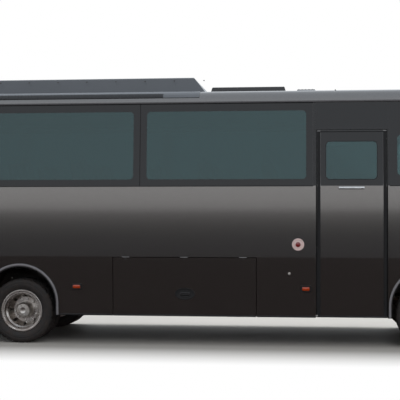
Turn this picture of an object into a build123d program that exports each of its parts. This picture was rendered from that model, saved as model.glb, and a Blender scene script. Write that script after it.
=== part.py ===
"""Midi coach for airport shuttle work: front engine, one plug door behind the front axle, twin rear wheels.

Millimetres. +X is forward, -Y is the door side, +Z is up, and the origin is on the ground under the middle
of the overall length and width. The side wall is one profile: a skirt that tucks in below a crease, an
upright waist, and a window band that leans in up to the cantrail. Everything in the wall follows it.
"""

import math
import os

from build123d import *

# Overall
LENGTH = 8400.0
WIDTH = 2350.0
WHEELBASE = 4800.0
REAR_OVERHANG = 2420.0

# Body section, measured on the outside
SKIRT_Z = 345.0
CREASE_Z = 1040.0
SILL_Z = 1867.0
CANTRAIL_Z = 2838.0
SKIRT_TUCK = 28.0
TUMBLEHOME = 68.0
COVE_IN = 150.0
COVE_RISE = 154.0
ROOF_CROWN = 48.0
WALL = 45.0
ROOF_T = 40.0
GLASS = 6.0
LEAF = 40.0
SEAM = 7.0
SEAT_GAP = 0.3
CLEAR = 60.0

# Where the side walls meet the end mouldings
FRONT_JOINT_X = 3500.0
REAR_JOINT_X = -3830.0

# Wheels and axles
TYRE_R = 383.5
TYRE_W = 215.0
TREAD_W = 176.0
RIM_R = 245.0
BEAD_R = 222.0
DROP_R = 200.0
RIM_W = 170.0
RIM_T = 9.0
DISC_OFFSET = 122.5
DISC_T = 12.0
HUB_R = 99.0
HUB_NOSE_R = 68.0
HUB_START_Y = 942.0
HUB_STEP = 30.0
HUB_REACH = 45.0
CAP_L = 25.0
DRUM_W = 80.0
HAND_HOLE_R = 19.0
HAND_HOLE_PCD_R = 158.0
HAND_HOLES = 8
WHEEL_PLANE_Y = 985.0
TWIN_SPACING = 245.0
DRUM_R = 158.0
ARCH_CENTRE_Z = 482.0
ARCH_R = 445.0
LIP_IN = 15.0
LIP_OUT = 27.0
LIP_PROUD = 10.0
LINER_R = 470.0
LINER_T = 8.0
LINER_IN_Y = 500.0

# Steering
KINGPIN_OFFSET = 115.0
KINGPIN_R = 22.0
SPINDLE_R = 35.0
REAR_SPINDLE_R = 45.0
RUNNING = 0.05
STEER_ARM = 165.0
TIE_STUD_R = 10.0
OPEN_PIVOT = 0.6

EYE_BOSS_R = 42.0
EYE_H = 110.0
FORK_T = 30.0
WEB_OFFSET = 48.0
WEB_T = 20.0
ARM_EYE = 24.0
TIE_ROD_R = 12.0
BEAM_W = 70.0
BEAM_H = 70.0
BEAM_TOP_Z = 372.0
BEAM_END_Y = 850.0
BEAM_NECK = ((700.0, 400.0), (560.0, 372.0))
EYE_TOP = 418.0

# Windows: pane joints along the side, then the clear light inside each pane
PANE_JOINTS = (-3800.0, -2350.0, -335.0, 1690.0)
PANE_GAP = 4.0
LIGHT_SIDE = 80.0
LIGHT_LOW_Z = 1947.0
LIGHT_HIGH_Z = 2745.0
LIGHT_R = 45.0
QUARTER_PANE = (2560.0, 3480.0)
QUARTER_LIGHT = (2650.0, 3390.0, 1985.0, 2450.0)

# Passenger door
DOOR_REAR_X = 1722.0
DOOR_FRONT_X = 2543.0
DOOR_TOP_Z = 2515.0
DOOR_GAP = 14.0
DOOR_SEAL = 38.0
SEAL_STEP = 8.0
DOOR_LIGHT = (1840.0, 2418.0, 1945.0, 2377.0)
DOOR_BAR = (1985.0, 2275.0, 1828.0, 1856.0)
BAR_PROUD = 14.0
DOOR_POST_X = 1775.0
DOOR_POST_Y = 1060.0
DOOR_POST_R = 16.0
DOOR_PIVOT_Y = 1088.6
DOOR_ARM_R = 355.0
DOOR_ARM_OUT = 112.0
DOOR_SWING = 156.72
ARM_SECTION = 20.0
ARM_EYE_R = 13.0
ARM_PIN_R = 7.0
ARM_LEVELS = (520.0, 2330.0)
LUG_T = 12.0
HEADER_T = 30.0

# Driver's door, over the left front wheel
DRIVER_REAR_X = 2620.0
DRIVER_FRONT_X = 3440.0
DRIVER_LOW_Z = 1010.0
DRIVER_TOP_Z = 2560.0
DRIVER_GAP = 12.0
DRIVER_LIGHT = (2710.0, 3355.0, 1905.0, 2475.0)

# Strap hinges of the leaves that swing on a fixed axis
HINGE_OUT = 7.0
KNUCKLE_R = 6.0
HINGE_PIN_R = 3.0
HINGE_L = 90.0
STRAP_L = 34.0
STRAP_T = 4.0
STRAP_SINK = 6.0
HATCH_HINGES = (-500.0, 190.0, 880.0)
DRIVER_HINGES = (1160.0, 1760.0)
BOOT_HINGES = (-250.0, 250.0)
LID_HINGES = (-260.0, 260.0)

# Luggage hatches and boot
HATCH_REAR_X = -659.0
HATCH_FRONT_X = 1038.0
HATCH_TOP_Z = 1038.0
HATCH_HANDLE = (199.0, 608.0)
HANDLE_RX = 114.0
HANDLE_RZ = 65.0
HANDLE_DEPTH = 16.0
BAY_DEPTH = 640.0
BAY_SHEET = 20.0
BAY_FLOOR_Z = 370.0
BOOT_HALF_W = 750.0
BOOT_LOW_Z = 800.0
BOOT_TOP_Z = 1390.0
BOOT_FRONT_X = -3060.0
BOOT_R = 60.0

# Floor and frame
FLOOR_Z = 1090.0
FLOOR_T = 40.0
REAR_FLOOR_Z = 1430.0
REAR_STEP_X = -3000.0
RAIL_Y = 400.0
RAIL_W = 70.0
RAIL_TOP_Z = 780.0
RAIL_H = 190.0
RAIL_T = 10.0
RAIL_ENDS = (-4060.0, 3960.0)
CROSS_LOW_Z = 640.0
CROSS_HIGH_Z = 720.0
BEARER_XS = (-3500.0, -2700.0, -1780.0, -800.0, 150.0, 1100.0, 2050.0)
BEARER_W = 60.0
TOW_HOLE_R = 19.0
TOW_LUG_T = 30.0
TOW_LUG_X = 3930.0
TOW_LUG_Z = 530.0
TOW_Y = 325.0
WELL_X = (1722.0, 2540.0)
WELL_SHEET = 20.0
TREADS = ((400.0, 1100.0, 900.0), (630.0, 900.0, 670.0), (860.0, 670.0, 465.0))
TREAD_T = 25.0
STAIR_IN_Y = 465.0

# Ends
BELT_Z = 1300.0
BUMPER_TOP_Z = 700.0
BUMPER_KNEE_Z = 480.0
BELT_BACK = 25.0
RAKE = 12.0
TAIL_SLOPE = 0.045
NOSE_TUCK = 50.0
TAIL_TUCK = 30.0
NOSE_BULGE = 80.0
NOSE_CORNERS = (300.0, 170.0)
TAIL_BULGE = 40.0
TAIL_CORNERS = (170.0, 150.0)
END_WALL = 40.0
BROW_Z = 2740.0
WINDSCREEN = (1050.0, 1390.0, 2700.0, 110.0)
WINDSCREEN_EDGE = 70.0
REAR_WINDOW = (900.0, 1760.0, 2560.0, 90.0)
REAR_WINDOW_EDGE = 60.0
HEADLAMP = (620.0, 960.0, 790.0, 990.0)
TAIL_LAMP = (830.0, 980.0, 800.0, 1290.0)
LAMP_DEPTH = 60.0
LAMP_R = 40.0
GRILLE = (480.0, 800.0, 1080.0)
GRILLE_BAR = 16.0
GRILLE_SLOTS = 6
GRILLE_DEPTH = 30.0
PLATE_HOLE_R = 3.5
PLATE_HOLES_APART = 290.0
PLATE_Z = 585.0

# Roof units
AC_X = (-2600.0, 410.0)
AC_NOSE = 160.0
AC_TAIL = 110.0
AC_HALF_W = 760.0
AC_TOP_HALF_W = 700.0
AC_TOP_Z = 3195.0
AC_R = 30.0
HATCH_LID_X = (430.0, 1370.0)
HATCH_LID_HALF_W = 560.0
HATCH_LID_TOP_Z = 3092.0
ROOF_OPENING_X = (560.0, 1240.0)
ROOF_OPENING_HALF_W = 330.0
LID_CLEAR = 5.0
VENT_X = (1460.0, 1740.0)
VENT_HALF_W = 240.0
VENT_TOP_Z = 3090.0

# Side fittings: (X, Z) on the wall
MARKERS = ((-1090.0, 685.0), (1606.0, 678.0))
MARKER_W = 115.0
MARKER_H = 58.0
MARKER_PROUD = 14.0
RELEASE = (1517.0, 1190.0)
RELEASE_R = 70.0
KEY_SWITCH = (1415.0, 852.0)
KEY_SWITCH_R = 16.0
RELEASE_PROUD = 9.0

# Seats
SEAT_PITCH = 760.0
SEAT_W = 800.0
SEAT_Y = 680.0
SEAT_H = 450.0
SEAT_BACK_H = 1110.0
SEAT_LEG_W = 120.0
RIGHT_ROW_X = (-2590.0, 6)
LEFT_ROW_X = (-2590.0, 7)
BENCH_X = -3540.0
BENCH_W = 2060.0
DRIVER_SEAT = (2780.0, 680.0, 520.0)
CUSHION_L = 470.0
CUSHION_T = 120.0
BACK_T = 110.0
RECLINE = 150.0
SEAT_ROUND = 25.0

# Driver's place
DASH_X = 3680.0
DASH_LIP = 50.0
DASH_H = 120.0
STEERING_WHEEL = (3560.0, 680.0, 1690.0)
STEERING_WHEEL_R = 225.0
STEERING_RIM_R = 15.0
COLUMN_TILT = 55.0
COLUMN_L = 300.0
COLUMN_R = 28.0

# Mirrors and wipers
MIRROR_X = 4060.0
MIRROR_Y = 1285.0
MIRROR_Z = 2060.0
MIRROR_W = 200.0
MIRROR_H = 400.0
MIRROR_T = 90.0
MIRROR_TAPER = 12.0
MIRROR_REACH = 260.0
MIRROR_ARM_R = 16.0
WIPER_GAP = 3.0
WIPER_T = 14.0
WIPER_W = 26.0
WIPER_L = 820.0
WIPER_Z = 1352.0
WIPER_PIVOTS = (-880.0, -20.0)

# Running gear
ENGINE = ((3060.0, 3860.0), (-300.0, 300.0), (470.0, 1290.0))
HUMP_X = (3000.0, 3900.0)
HUMP_HALF_W = 370.0
HUMP_TOP_Z = 1390.0
HUMP_T = 25.0
TANK = ((1150.0, 2350.0), (500.0, 1060.0), (440.0, 900.0))
TANK_R = 60.0
SPRING_HALF = 620.0
SPRING_RISE = 60.0
SPRING_T = 48.0
SPRING_W = 70.0
EYE_R = 30.0
AXLE_TUBE_R = 55.0
BANJO_R = 165.0
PROPSHAFT_R = 42.0
EXHAUST_R = 34.0
SILENCER_R = 115.0
EXHAUST_X = (-4060.0, 2950.0)
EXHAUST_Y = -250.0
EXHAUST_Z = 520.0
SILENCER_X = (-600.0, 100.0)
STRAP = 16.0
GEARBOX_REAR_X = 2450.0
GEARBOX_HALF_W = 170.0
GEARBOX_Z = (480.0, 760.0)
SHAFT_Z = 565.0
PAD_HALF = 60.0
AXLE_HALF = 610.0
PINION_L = 260.0
BANJO_HALF_L = 85.0
BANJO_TAPER = 25.0

REAR_AXLE_X = -LENGTH / 2 + REAR_OVERHANG
FRONT_AXLE_X = REAR_AXLE_X + WHEELBASE
HALF = WIDTH / 2
ROOF_Z = CANTRAIL_Z + COVE_RISE + ROOF_CROWN
KINGPIN_Y = WHEEL_PLANE_Y - KINGPIN_OFFSET
ARM_REST = math.degrees(math.asin((DOOR_PIVOT_Y - DOOR_POST_Y) / DOOR_ARM_R))
DOOR_PIVOT_X = DOOR_POST_X + DOOR_ARM_R * math.cos(math.radians(ARM_REST))
PROFILE = (
    (SKIRT_Z, HALF - SKIRT_TUCK),
    (CREASE_Z, HALF),
    (SILL_Z, HALF),
    (CANTRAIL_Z, HALF - TUMBLEHOME),
)
RIGHT, LEFT = -1, 1

os.makedirs("parts", exist_ok=True)


def finish(part, name):
    """Names a finished piece and writes it out."""
    part.label = name
    export_step(part, f"parts/{name}.step")


def join(pieces, cutters=()):
    """One part from pieces, less its cutters."""
    with BuildPart() as joined:
        for piece in pieces:
            add(piece)
        for cutter in cutters:
            add(cutter, mode=Mode.SUBTRACT)
    return joined.part


def overlap(piece, limit):
    """The part of piece that lies inside limit."""
    with BuildPart() as common:
        add(piece)
        add(limit, mode=Mode.INTERSECT)
    return common.part


def block(x, y, z):
    """A block between a low and a high value on each axis."""
    with BuildPart() as solid:
        with BuildSketch(Plane.XY.offset(z[0])):
            with Locations(((x[0] + x[1]) / 2, (y[0] + y[1]) / 2)):
                Rectangle(x[1] - x[0], abs(y[1] - y[0]))
        extrude(amount=z[1] - z[0])
    return solid.part


def rod(start, end, radius, bore=0.0):
    """A round bar or tube between two points."""
    start, end = Vector(*start), Vector(*end)
    with BuildPart() as bar:
        with BuildSketch(Plane(start, z_dir=(end - start).normalized())):
            Circle(radius)
            if bore:
                Circle(bore, mode=Mode.SUBTRACT)
        extrude(amount=(end - start).length)
    return bar.part


def hinge(at, along, to_fixed, fixed_drop=HINGE_OUT, leaf_drop=HINGE_OUT):
    """A strap hinge on the axis through at: (fixed straps and pin, leaf strap bored for the pin).

    Outward is along x to_fixed. Each strap lies drop below the axis and sinks a little into what carries it.
    """
    third = HINGE_L / 3
    halves = []
    for way, drop, spans in (
        (1, fixed_drop, ((-1.5 * third, -0.5 * third), (0.5 * third, 1.5 * third))),
        (-1, leaf_drop, ((SEAT_GAP - 0.5 * third, 0.5 * third - SEAT_GAP),)),
    ):
        with BuildPart() as half:
            for low, high in spans:
                start = Vector(*at) + Vector(*along) * low
                with BuildSketch(Plane(origin=start, x_dir=to_fixed, z_dir=along)):
                    Circle(KNUCKLE_R)
                    with Locations((way * STRAP_L / 2, STRAP_T / 2 - drop - STRAP_SINK / 2)):
                        Rectangle(STRAP_L, STRAP_T + STRAP_SINK)
                extrude(amount=high - low)
        halves.append(half.part)
    start, end = Vector(*at) - Vector(*along) * 1.5 * third, Vector(*at) + Vector(*along) * 1.5 * third
    return join([halves[0], rod(start, end, HINGE_PIN_R)]), join(
        [halves[1]], [rod(start, end, HINGE_PIN_R + RUNNING)]
    )


def half_width(z):
    """Half of the body's width on the outside at height z, along the straight parts of the profile."""
    pairs = list(zip(PROFILE, PROFILE[1:]))
    for (z0, y0), (z1, y1) in pairs:
        if z <= z1:
            return y0 + (y1 - y0) * (z - z0) / (z1 - z0)
    (z0, y0), (z1, y1) = pairs[-1]
    return y0 + (y1 - y0) * (z - z0) / (z1 - z0)


def side_skin(side, x_rear, x_front, z_low, z_high, outer=0.0, inner=WALL):
    """A stretch of the side wall between two depths under the outside face."""
    levels = [z_low] + [z for z, _ in PROFILE if z_low < z < z_high] + [z_high]
    outline = [(side * (half_width(z) - outer), z) for z in levels]
    outline += [(side * (half_width(z) - inner), z) for z in reversed(levels)]
    with BuildPart() as skin:
        with BuildSketch(Plane.YZ.offset(x_rear)):
            with BuildLine():
                Polyline(*outline, close=True)
            make_face()
        extrude(amount=x_front - x_rear)
    return skin.part


def side_plane(side):
    """A vertical plane just outside one side wall, drawn on in X and Z."""
    return Plane.XZ.offset(-side * (HALF + CLEAR))


def light_cutter(side, x_rear, x_front, z_low, z_high, radius=LIGHT_R):
    """A prism through one side wall, with rounded corners seen from the side."""
    with BuildPart() as cutter:
        with BuildSketch(side_plane(side)):
            with Locations(((x_rear + x_front) / 2, (z_low + z_high) / 2)):
                RectangleRounded(x_front - x_rear, z_high - z_low, radius)
        extrude(amount=side * 4 * CLEAR)
    return cutter.part


def arch_form(axle_x, side, radius, in_y, low_z=0.0):
    """The space under a wheel arch: a round top over straight sides, from the skin in to in_y."""
    with BuildPart() as form:
        with BuildSketch(side_plane(side)):
            with Locations((axle_x, ARCH_CENTRE_Z)):
                Circle(radius)
            with Locations((axle_x, (ARCH_CENTRE_Z + low_z) / 2)):
                Rectangle(2 * radius, ARCH_CENTRE_Z - low_z)
            with Locations((axle_x, low_z + radius + HALF / 2)):
                Rectangle(3 * radius, 2 * radius + HALF, mode=Mode.INTERSECT)
        extrude(amount=side * (HALF + CLEAR - in_y))
    return form.part


def pane_spans(side):
    """(rear, front, low, high) of each bonded pane in the window band of one side."""
    spans = [(a, b, SILL_Z, CANTRAIL_Z) for a, b in zip(PANE_JOINTS, PANE_JOINTS[1:])]
    if side == RIGHT:
        spans.append((*QUARTER_PANE, SILL_Z, CANTRAIL_Z))
        spans.append((PANE_JOINTS[-1], QUARTER_PANE[0], DOOR_TOP_Z, CANTRAIL_Z))
    else:
        spans.append((PANE_JOINTS[-1], DRIVER_REAR_X - SEAM, SILL_Z, CANTRAIL_Z))
        spans.append((DRIVER_REAR_X - SEAM, QUARTER_PANE[1], DRIVER_TOP_Z, CANTRAIL_Z))
    return spans


def lights(side):
    """The see-through opening inside each pane, as (rear, front, low, high)."""
    clear = [
        (a + LIGHT_SIDE, b - LIGHT_SIDE, LIGHT_LOW_Z, LIGHT_HIGH_Z)
        for a, b, low, high in pane_spans(side)
        if low == SILL_Z and (a, b) != QUARTER_PANE
    ]
    if side == RIGHT:
        clear.append(QUARTER_LIGHT)
    return clear


def side_wall(side):
    """One side wall with its band recess, window openings, arches, luggage opening and doorway."""
    skin = side_skin(side, REAR_JOINT_X, FRONT_JOINT_X, SKIRT_Z, CANTRAIL_Z)
    recesses = [
        side_skin(side, a, b, low, high + 1, -CLEAR, GLASS) for a, b, low, high in pane_spans(side)
    ]
    openings = [light_cutter(side, *light) for light in lights(side)]
    arches = [
        arch_form(x, side, ARCH_R, HALF - 2 * CLEAR) for x in (REAR_AXLE_X, FRONT_AXLE_X)
    ]
    bay = side_skin(
        side, HATCH_REAR_X, HATCH_FRONT_X, SKIRT_Z - CLEAR, HATCH_TOP_Z, -CLEAR, 2 * WALL
    )
    if side == RIGHT:
        door = side_skin(
            side, DOOR_REAR_X, DOOR_FRONT_X, SKIRT_Z - CLEAR, DOOR_TOP_Z, -CLEAR, 2 * WALL
        )
    else:
        door = side_skin(
            side, DRIVER_REAR_X, DRIVER_FRONT_X, DRIVER_LOW_Z, DRIVER_TOP_Z, -CLEAR, 2 * WALL
        )
    wall = join([skin], [*recesses, *openings, *arches, bay, door])
    if side == RIGHT:
        header = block(
            (DOOR_POST_X - 2 * DOOR_POST_R, DOOR_POST_X + 2 * DOOR_POST_R),
            (LEAF - half_width(DOOR_TOP_Z), -DOOR_POST_Y + 2 * DOOR_POST_R),
            (DOOR_TOP_Z - HEADER_T, DOOR_TOP_Z + HEADER_T),
        )
        return join([wall, header, *[fixed for fixed, _ in hatch_hinges(side)]])
    return join([wall, *[fixed for fixed, _ in (*hatch_hinges(side), *driver_hinges())]])


def hatch_hinges(side):
    """The strap hinges along the top of one luggage hatch."""
    y, z = side * (half_width(HATCH_TOP_Z) + HINGE_OUT), HATCH_TOP_Z - SEAM / 2
    return [hinge((x, y, z), (-side, 0, 0), (0, 0, 1)) for x in HATCH_HINGES]


def driver_hinges():
    """The strap hinges at the front edge of the driver's door."""
    x, y = DRIVER_FRONT_X - SEAM / 2, half_width(DRIVER_HINGES[0]) + HINGE_OUT
    return [hinge((x, y, z), (0, 0, 1), (1, 0, 0)) for z in DRIVER_HINGES]


def boot_hinges():
    """The strap hinges along the top of the boot lid."""
    z = BOOT_TOP_Z - SEAM / 2
    return [hinge((end_x(False, z) - HINGE_OUT, y, z), (0, -1, 0), (0, 0, 1)) for y in BOOT_HINGES]


def lid_hinges():
    """The strap hinges at the front edge of the roof hatch."""
    at = (HATCH_LID_X[1] + KNUCKLE_R, ROOF_Z + HINGE_OUT + 1)
    return [hinge((at[0], y, at[1]), (0, -1, 0), (1, 0, 0), HINGE_OUT + 1, -STRAP_T + 1) for y in LID_HINGES]


def side_panes(side):
    """The bonded panes of one side, flush with the wall, and the dark header pane over the door."""
    trim = PANE_GAP / 2
    return [
        side_skin(side, a + trim, b - trim, low + trim, high - trim, 0.0, GLASS)
        for a, b, low, high in pane_spans(side)
    ]


def arch_lips():
    """The moulded lips round the wheel arches, proud of the wall and turned in round its edge."""
    lips = []
    for side in (RIGHT, LEFT):
        for axle_x in (REAR_AXLE_X, FRONT_AXLE_X):
            spans = (axle_x - 2 * ARCH_R, axle_x + 2 * ARCH_R, SKIRT_Z, SILL_Z)
            flare = overlap(
                side_skin(side, *spans, -LIP_PROUD, 0.0),
                arch_form(axle_x, side, ARCH_R + LIP_OUT, HALF - 2 * CLEAR),
            )
            turn = overlap(
                side_skin(side, *spans, -LIP_PROUD, WALL),
                arch_form(axle_x, side, ARCH_R, HALF - 2 * CLEAR),
            )
            hollow = arch_form(axle_x, side, ARCH_R - LIP_IN, HALF - 3 * CLEAR)
            lips.append(join([flare, turn], [hollow]))
    return join(lips)


def arch_liners():
    """The curved sheets over the wheels, from the side walls in to the frame."""
    liners = []
    for side in (RIGHT, LEFT):
        for axle_x in (REAR_AXLE_X, FRONT_AXLE_X):
            sheet = arch_form(axle_x, side, LINER_R + LINER_T, LINER_IN_Y, SKIRT_Z)
            spans = (axle_x - 2 * ARCH_R, axle_x + 2 * ARCH_R, SKIRT_Z - CLEAR, CANTRAIL_Z)
            wall = side_skin(side, *spans, -3 * CLEAR, WALL)
            hollow = arch_form(axle_x, side, LINER_R, LINER_IN_Y - CLEAR, SKIRT_Z - CLEAR)
            liners.append(join([sheet], [wall, hollow]))
    return join(liners)


def roof_face(inset):
    """The roof over the cantrails: a cove each side and a shallow crown, drawn in by inset."""
    foot_y = HALF - TUMBLEHOME - inset
    lean = Vector(-TUMBLEHOME, CANTRAIL_Z - SILL_Z).normalized()
    cove_top = (foot_y - COVE_IN, CANTRAIL_Z + COVE_RISE - inset)
    with BuildSketch() as face:
        with BuildLine():
            cove = TangentArc((foot_y, CANTRAIL_Z), cove_top, tangent=lean)
            mirror(cove, about=Plane.YZ)
            ThreePointArc(cove_top, (0, ROOF_Z - inset), (-cove_top[0], cove_top[1]))
            Line((foot_y, CANTRAIL_Z), (-foot_y, CANTRAIL_Z))
        make_face()
    return face.sketch


def roof_form(inset, x_rear=REAR_JOINT_X, x_front=FRONT_JOINT_X):
    """The closed form under the roof's surface."""
    face = roof_face(inset)
    with BuildPart() as form:
        with BuildSketch(Plane.YZ.offset(x_rear)):
            add(face)
        extrude(amount=x_front - x_rear)
    return form.part


def plan_outline(half, end_x, joint_x, bulge, corner, inset):
    """A bowed end seen from above: straight flanks, round corners, and a shallow arc across."""
    sign = 1 if end_x > joint_x else -1
    turn = math.pi / 2 - 2 * bulge / (half - corner)
    corner_r = corner / (1 - math.cos(turn))
    corner_in = corner * (corner_r - inset) / corner_r
    flank_y = half - inset
    tip = end_x - sign * inset
    shoulder = (tip - sign * bulge, flank_y - corner_in)
    flank_x = shoulder[0] - sign * corner_in / math.tan(turn / 2)
    with BuildSketch() as outline:
        with BuildLine():
            Line((joint_x, -flank_y), (flank_x, -flank_y))
            TangentArc((flank_x, -flank_y), (shoulder[0], -shoulder[1]), tangent=(sign, 0))
            ThreePointArc((shoulder[0], -shoulder[1]), (tip, 0), shoulder)
            TangentArc((flank_x, flank_y), shoulder, tangent=(sign, 0))
            Line((joint_x, flank_y), (flank_x, flank_y))
            Line((joint_x, -flank_y), (joint_x, flank_y))
        make_face()
    return outline.sketch


def end_x(front, z):
    """Where the nose or the tail reaches at height z, on the centre line."""
    tuck = NOSE_TUCK if front else TAIL_TUCK
    if z <= BUMPER_KNEE_Z:
        depth = tuck * (BUMPER_KNEE_Z - z) / (BUMPER_KNEE_Z - SKIRT_Z)
    elif z <= BUMPER_TOP_Z:
        depth = 0.0
    elif not front:
        depth = BELT_BACK + TAIL_SLOPE * (z - BUMPER_TOP_Z)
    elif z <= BELT_Z:
        depth = BELT_BACK * (z - BUMPER_TOP_Z) / (BELT_Z - BUMPER_TOP_Z)
    else:
        depth = BELT_BACK + (z - BELT_Z) * math.tan(math.radians(RAKE))
    return (1 if front else -1) * (LENGTH / 2 - depth)


def end_form(front, inset, low_z=SKIRT_Z):
    """The closed form of the nose or the tail, drawn in by inset."""
    sign = 1 if front else -1
    joint_x = FRONT_JOINT_X if front else REAR_JOINT_X
    bulge, (low_corner, high_corner) = (NOSE_BULGE, NOSE_CORNERS) if front else (TAIL_BULGE, TAIL_CORNERS)
    slope = math.tan(math.radians(RAKE)) if front else TAIL_SLOPE
    levels = sorted({BUMPER_KNEE_Z, BUMPER_TOP_Z, CREASE_Z, BELT_Z, SILL_Z, CANTRAIL_Z})
    sections = [(low_z, SKIRT_Z)] + [(z, z) for z in levels]
    sections.append((ROOF_Z + CLEAR, ROOF_Z + CLEAR))
    skin = [(half_width(z) - inset, shown) for shown, z in sections[:-1]]
    brow = (end_x(front, BROW_Z) - sign * inset, BROW_Z)
    crown = (joint_x + sign * CLEAR / 2, ROOF_Z + 1 - inset)
    roof = roof_face(inset)
    outlines = []
    for _, z in sections:
        rise = max(z - BELT_Z, 0) / (ROOF_Z + CLEAR - BELT_Z)
        corner = low_corner + (high_corner - low_corner) * rise
        outlines.append(plan_outline(half_width(z) + 1, end_x(front, z), joint_x, bulge, corner, inset))
    with BuildPart() as form:
        for (shown, _), outline in zip(sections, outlines):
            with BuildSketch(Plane.XY.offset(shown)):
                add(outline)
        loft(ruled=True)
        with BuildSketch(Plane.YZ.offset(joint_x)):
            add(roof)
            with BuildLine():
                Polyline(*skin, *[(-y, z) for y, z in reversed(skin)], close=True)
            make_face()
        extrude(amount=sign * (LENGTH / 2), mode=Mode.INTERSECT)
        with BuildSketch(Plane.XZ):
            with BuildLine():
                Line(crown, (joint_x, crown[1]))
                Polyline((joint_x, crown[1]), (joint_x, 0), (sign * LENGTH, 0), (sign * LENGTH, BROW_Z), brow)
                Spline(brow, crown, tangents=((-sign * slope, 1), (-sign, 0)))
            make_face()
        extrude(amount=WIDTH, both=True, mode=Mode.INTERSECT)
    return form.part


def end_prism(front, half_w, z_low, z_high, radius, grow=0.0, y_mid=0.0):
    """A prism through the nose or the tail, with rounded corners seen from the end."""
    joint_x = FRONT_JOINT_X if front else REAR_JOINT_X
    with BuildPart() as prism:
        with BuildSketch(Plane.YZ.offset(joint_x)):
            with Locations((y_mid, (z_low + z_high) / 2)):
                RectangleRounded(2 * (half_w + grow), z_high - z_low + 2 * grow, radius + grow)
        extrude(amount=(1 if front else -1) * LENGTH)
    return prism.part


def lamp_prisms(front, lamp, grow=0.0):
    """The two lamp apertures of one end."""
    y_in, y_out, z_low, z_high = lamp
    middle = (y_in + y_out) / 2
    return [
        end_prism(front, (y_out - y_in) / 2, z_low, z_high, LAMP_R, grow, side * middle)
        for side in (RIGHT, LEFT)
    ]


# Side walls, their arches and their glass
for side, name in ((RIGHT, "side_wall_right"), (LEFT, "side_wall_left")):
    finish(side_wall(side), name)
finish(arch_lips(), "arch_lips")
finish(arch_liners(), "wheel_arches")

# Nose: outer form, then the space inside it and the apertures through it
nose = end_form(True, 0.0)
nose_inner = end_form(True, END_WALL, SKIRT_Z - CLEAR)
nose_glass_bed = end_form(True, GLASS)
nose_lamp_bed = end_form(True, LAMP_DEPTH)
tail = end_form(False, 0.0)
tail_inner = end_form(False, END_WALL, SKIRT_Z - CLEAR)
tail_glass_bed = end_form(False, GLASS)
tail_lamp_bed = end_form(False, LAMP_DEPTH)
tail_leaf_bed = end_form(False, LEAF)

above_bumper = block((-LENGTH, LENGTH), (-WIDTH, WIDTH), (BUMPER_TOP_Z, 2 * ROOF_Z))
below_bumper = block((-LENGTH, LENGTH), (-WIDTH, WIDTH), (0, BUMPER_TOP_Z - SEAT_GAP))

glass_half_w, glass_low, glass_high, glass_r = WINDSCREEN
edge = WINDSCREEN_EDGE
windscreen_bed = end_prism(True, glass_half_w, glass_low, glass_high, glass_r)
windscreen_hole = end_prism(
    True, glass_half_w - edge, glass_low + edge, glass_high - edge, glass_r - edge / 2
)
windscreen_recess = join([windscreen_bed], [nose_glass_bed])
windscreen = overlap(
    join([nose], [nose_glass_bed]), end_prism(True, glass_half_w, glass_low, glass_high, glass_r, -2.0)
)

grille_half_w, grille_low, grille_high = GRILLE
grille_hole = end_prism(True, grille_half_w, grille_low, grille_high, LAMP_R)
nose_lamps = lamp_prisms(True, HEADLAMP)
front_mask = join(
    [overlap(nose, above_bumper)],
    [nose_inner, windscreen_recess, windscreen_hole, grille_hole, *nose_lamps],
)
finish(front_mask, "front_mask")

headlamps = [
    overlap(join([nose], [nose_lamp_bed]), prism) for prism in lamp_prisms(True, HEADLAMP, -SEAT_GAP)
]
finish(join(headlamps), "headlamps")

# Grille: a frame that follows the nose, with slots between its bars
slot_pitch = (grille_high - grille_low - GRILLE_BAR) / GRILLE_SLOTS
grille_slots = [
    end_prism(
        True,
        grille_half_w - 2 * GRILLE_BAR,
        grille_low + GRILLE_BAR + k * slot_pitch,
        grille_low + (k + 1) * slot_pitch,
        GRILLE_BAR / 2,
    )
    for k in range(GRILLE_SLOTS)
]
grille_plate = overlap(
    join([nose], [end_form(True, GRILLE_DEPTH)]),
    end_prism(True, grille_half_w, grille_low, grille_high, LAMP_R, -SEAT_GAP),
)
finish(join([grille_plate], grille_slots), "grille")

plate_holes = [
    rod((sign * LENGTH / 2 - sign * 4 * CLEAR, y, PLATE_Z), (sign * LENGTH, y, PLATE_Z), PLATE_HOLE_R)
    for sign in (1, -1)
    for y in (-PLATE_HOLES_APART / 2, PLATE_HOLES_APART / 2)
]
front_bumper = join([overlap(nose, below_bumper)], [nose_inner, *plate_holes])
finish(front_bumper, "front_bumper")

# Tail: the panel round the rear window and the boot, and its bumper
glass_half_w, glass_low, glass_high, glass_r = REAR_WINDOW
edge = REAR_WINDOW_EDGE
rear_bed = end_prism(False, glass_half_w, glass_low, glass_high, glass_r)
rear_hole = end_prism(
    False, glass_half_w - edge, glass_low + edge, glass_high - edge, glass_r - edge / 2
)
rear_pane = overlap(
    join([tail], [tail_glass_bed]), end_prism(False, glass_half_w, glass_low, glass_high, glass_r, -2.0)
)
boot_hole = end_prism(False, BOOT_HALF_W, BOOT_LOW_Z, BOOT_TOP_Z, BOOT_R)
rear_panel = join(
    [overlap(tail, above_bumper)],
    [
        tail_inner,
        join([rear_bed], [tail_glass_bed]),
        rear_hole,
        boot_hole,
        *lamp_prisms(False, TAIL_LAMP),
    ],
)
boot_straps = boot_hinges()
finish(join([rear_panel, *[fixed for fixed, _ in boot_straps]]), "rear_panel")
tail_lamps = [
    overlap(join([tail], [tail_lamp_bed]), prism) for prism in lamp_prisms(False, TAIL_LAMP, -SEAT_GAP)
]
finish(join(tail_lamps), "tail_lamps")
finish(join([overlap(tail, below_bumper)], [tail_inner, *plate_holes]), "rear_bumper")
boot_lid = overlap(
    join([tail], [tail_leaf_bed]), end_prism(False, BOOT_HALF_W, BOOT_LOW_Z, BOOT_TOP_Z, BOOT_R, -SEAM)
)
finish(join([boot_lid, *[moving for _, moving in boot_straps]]), "boot_lid")

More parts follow.
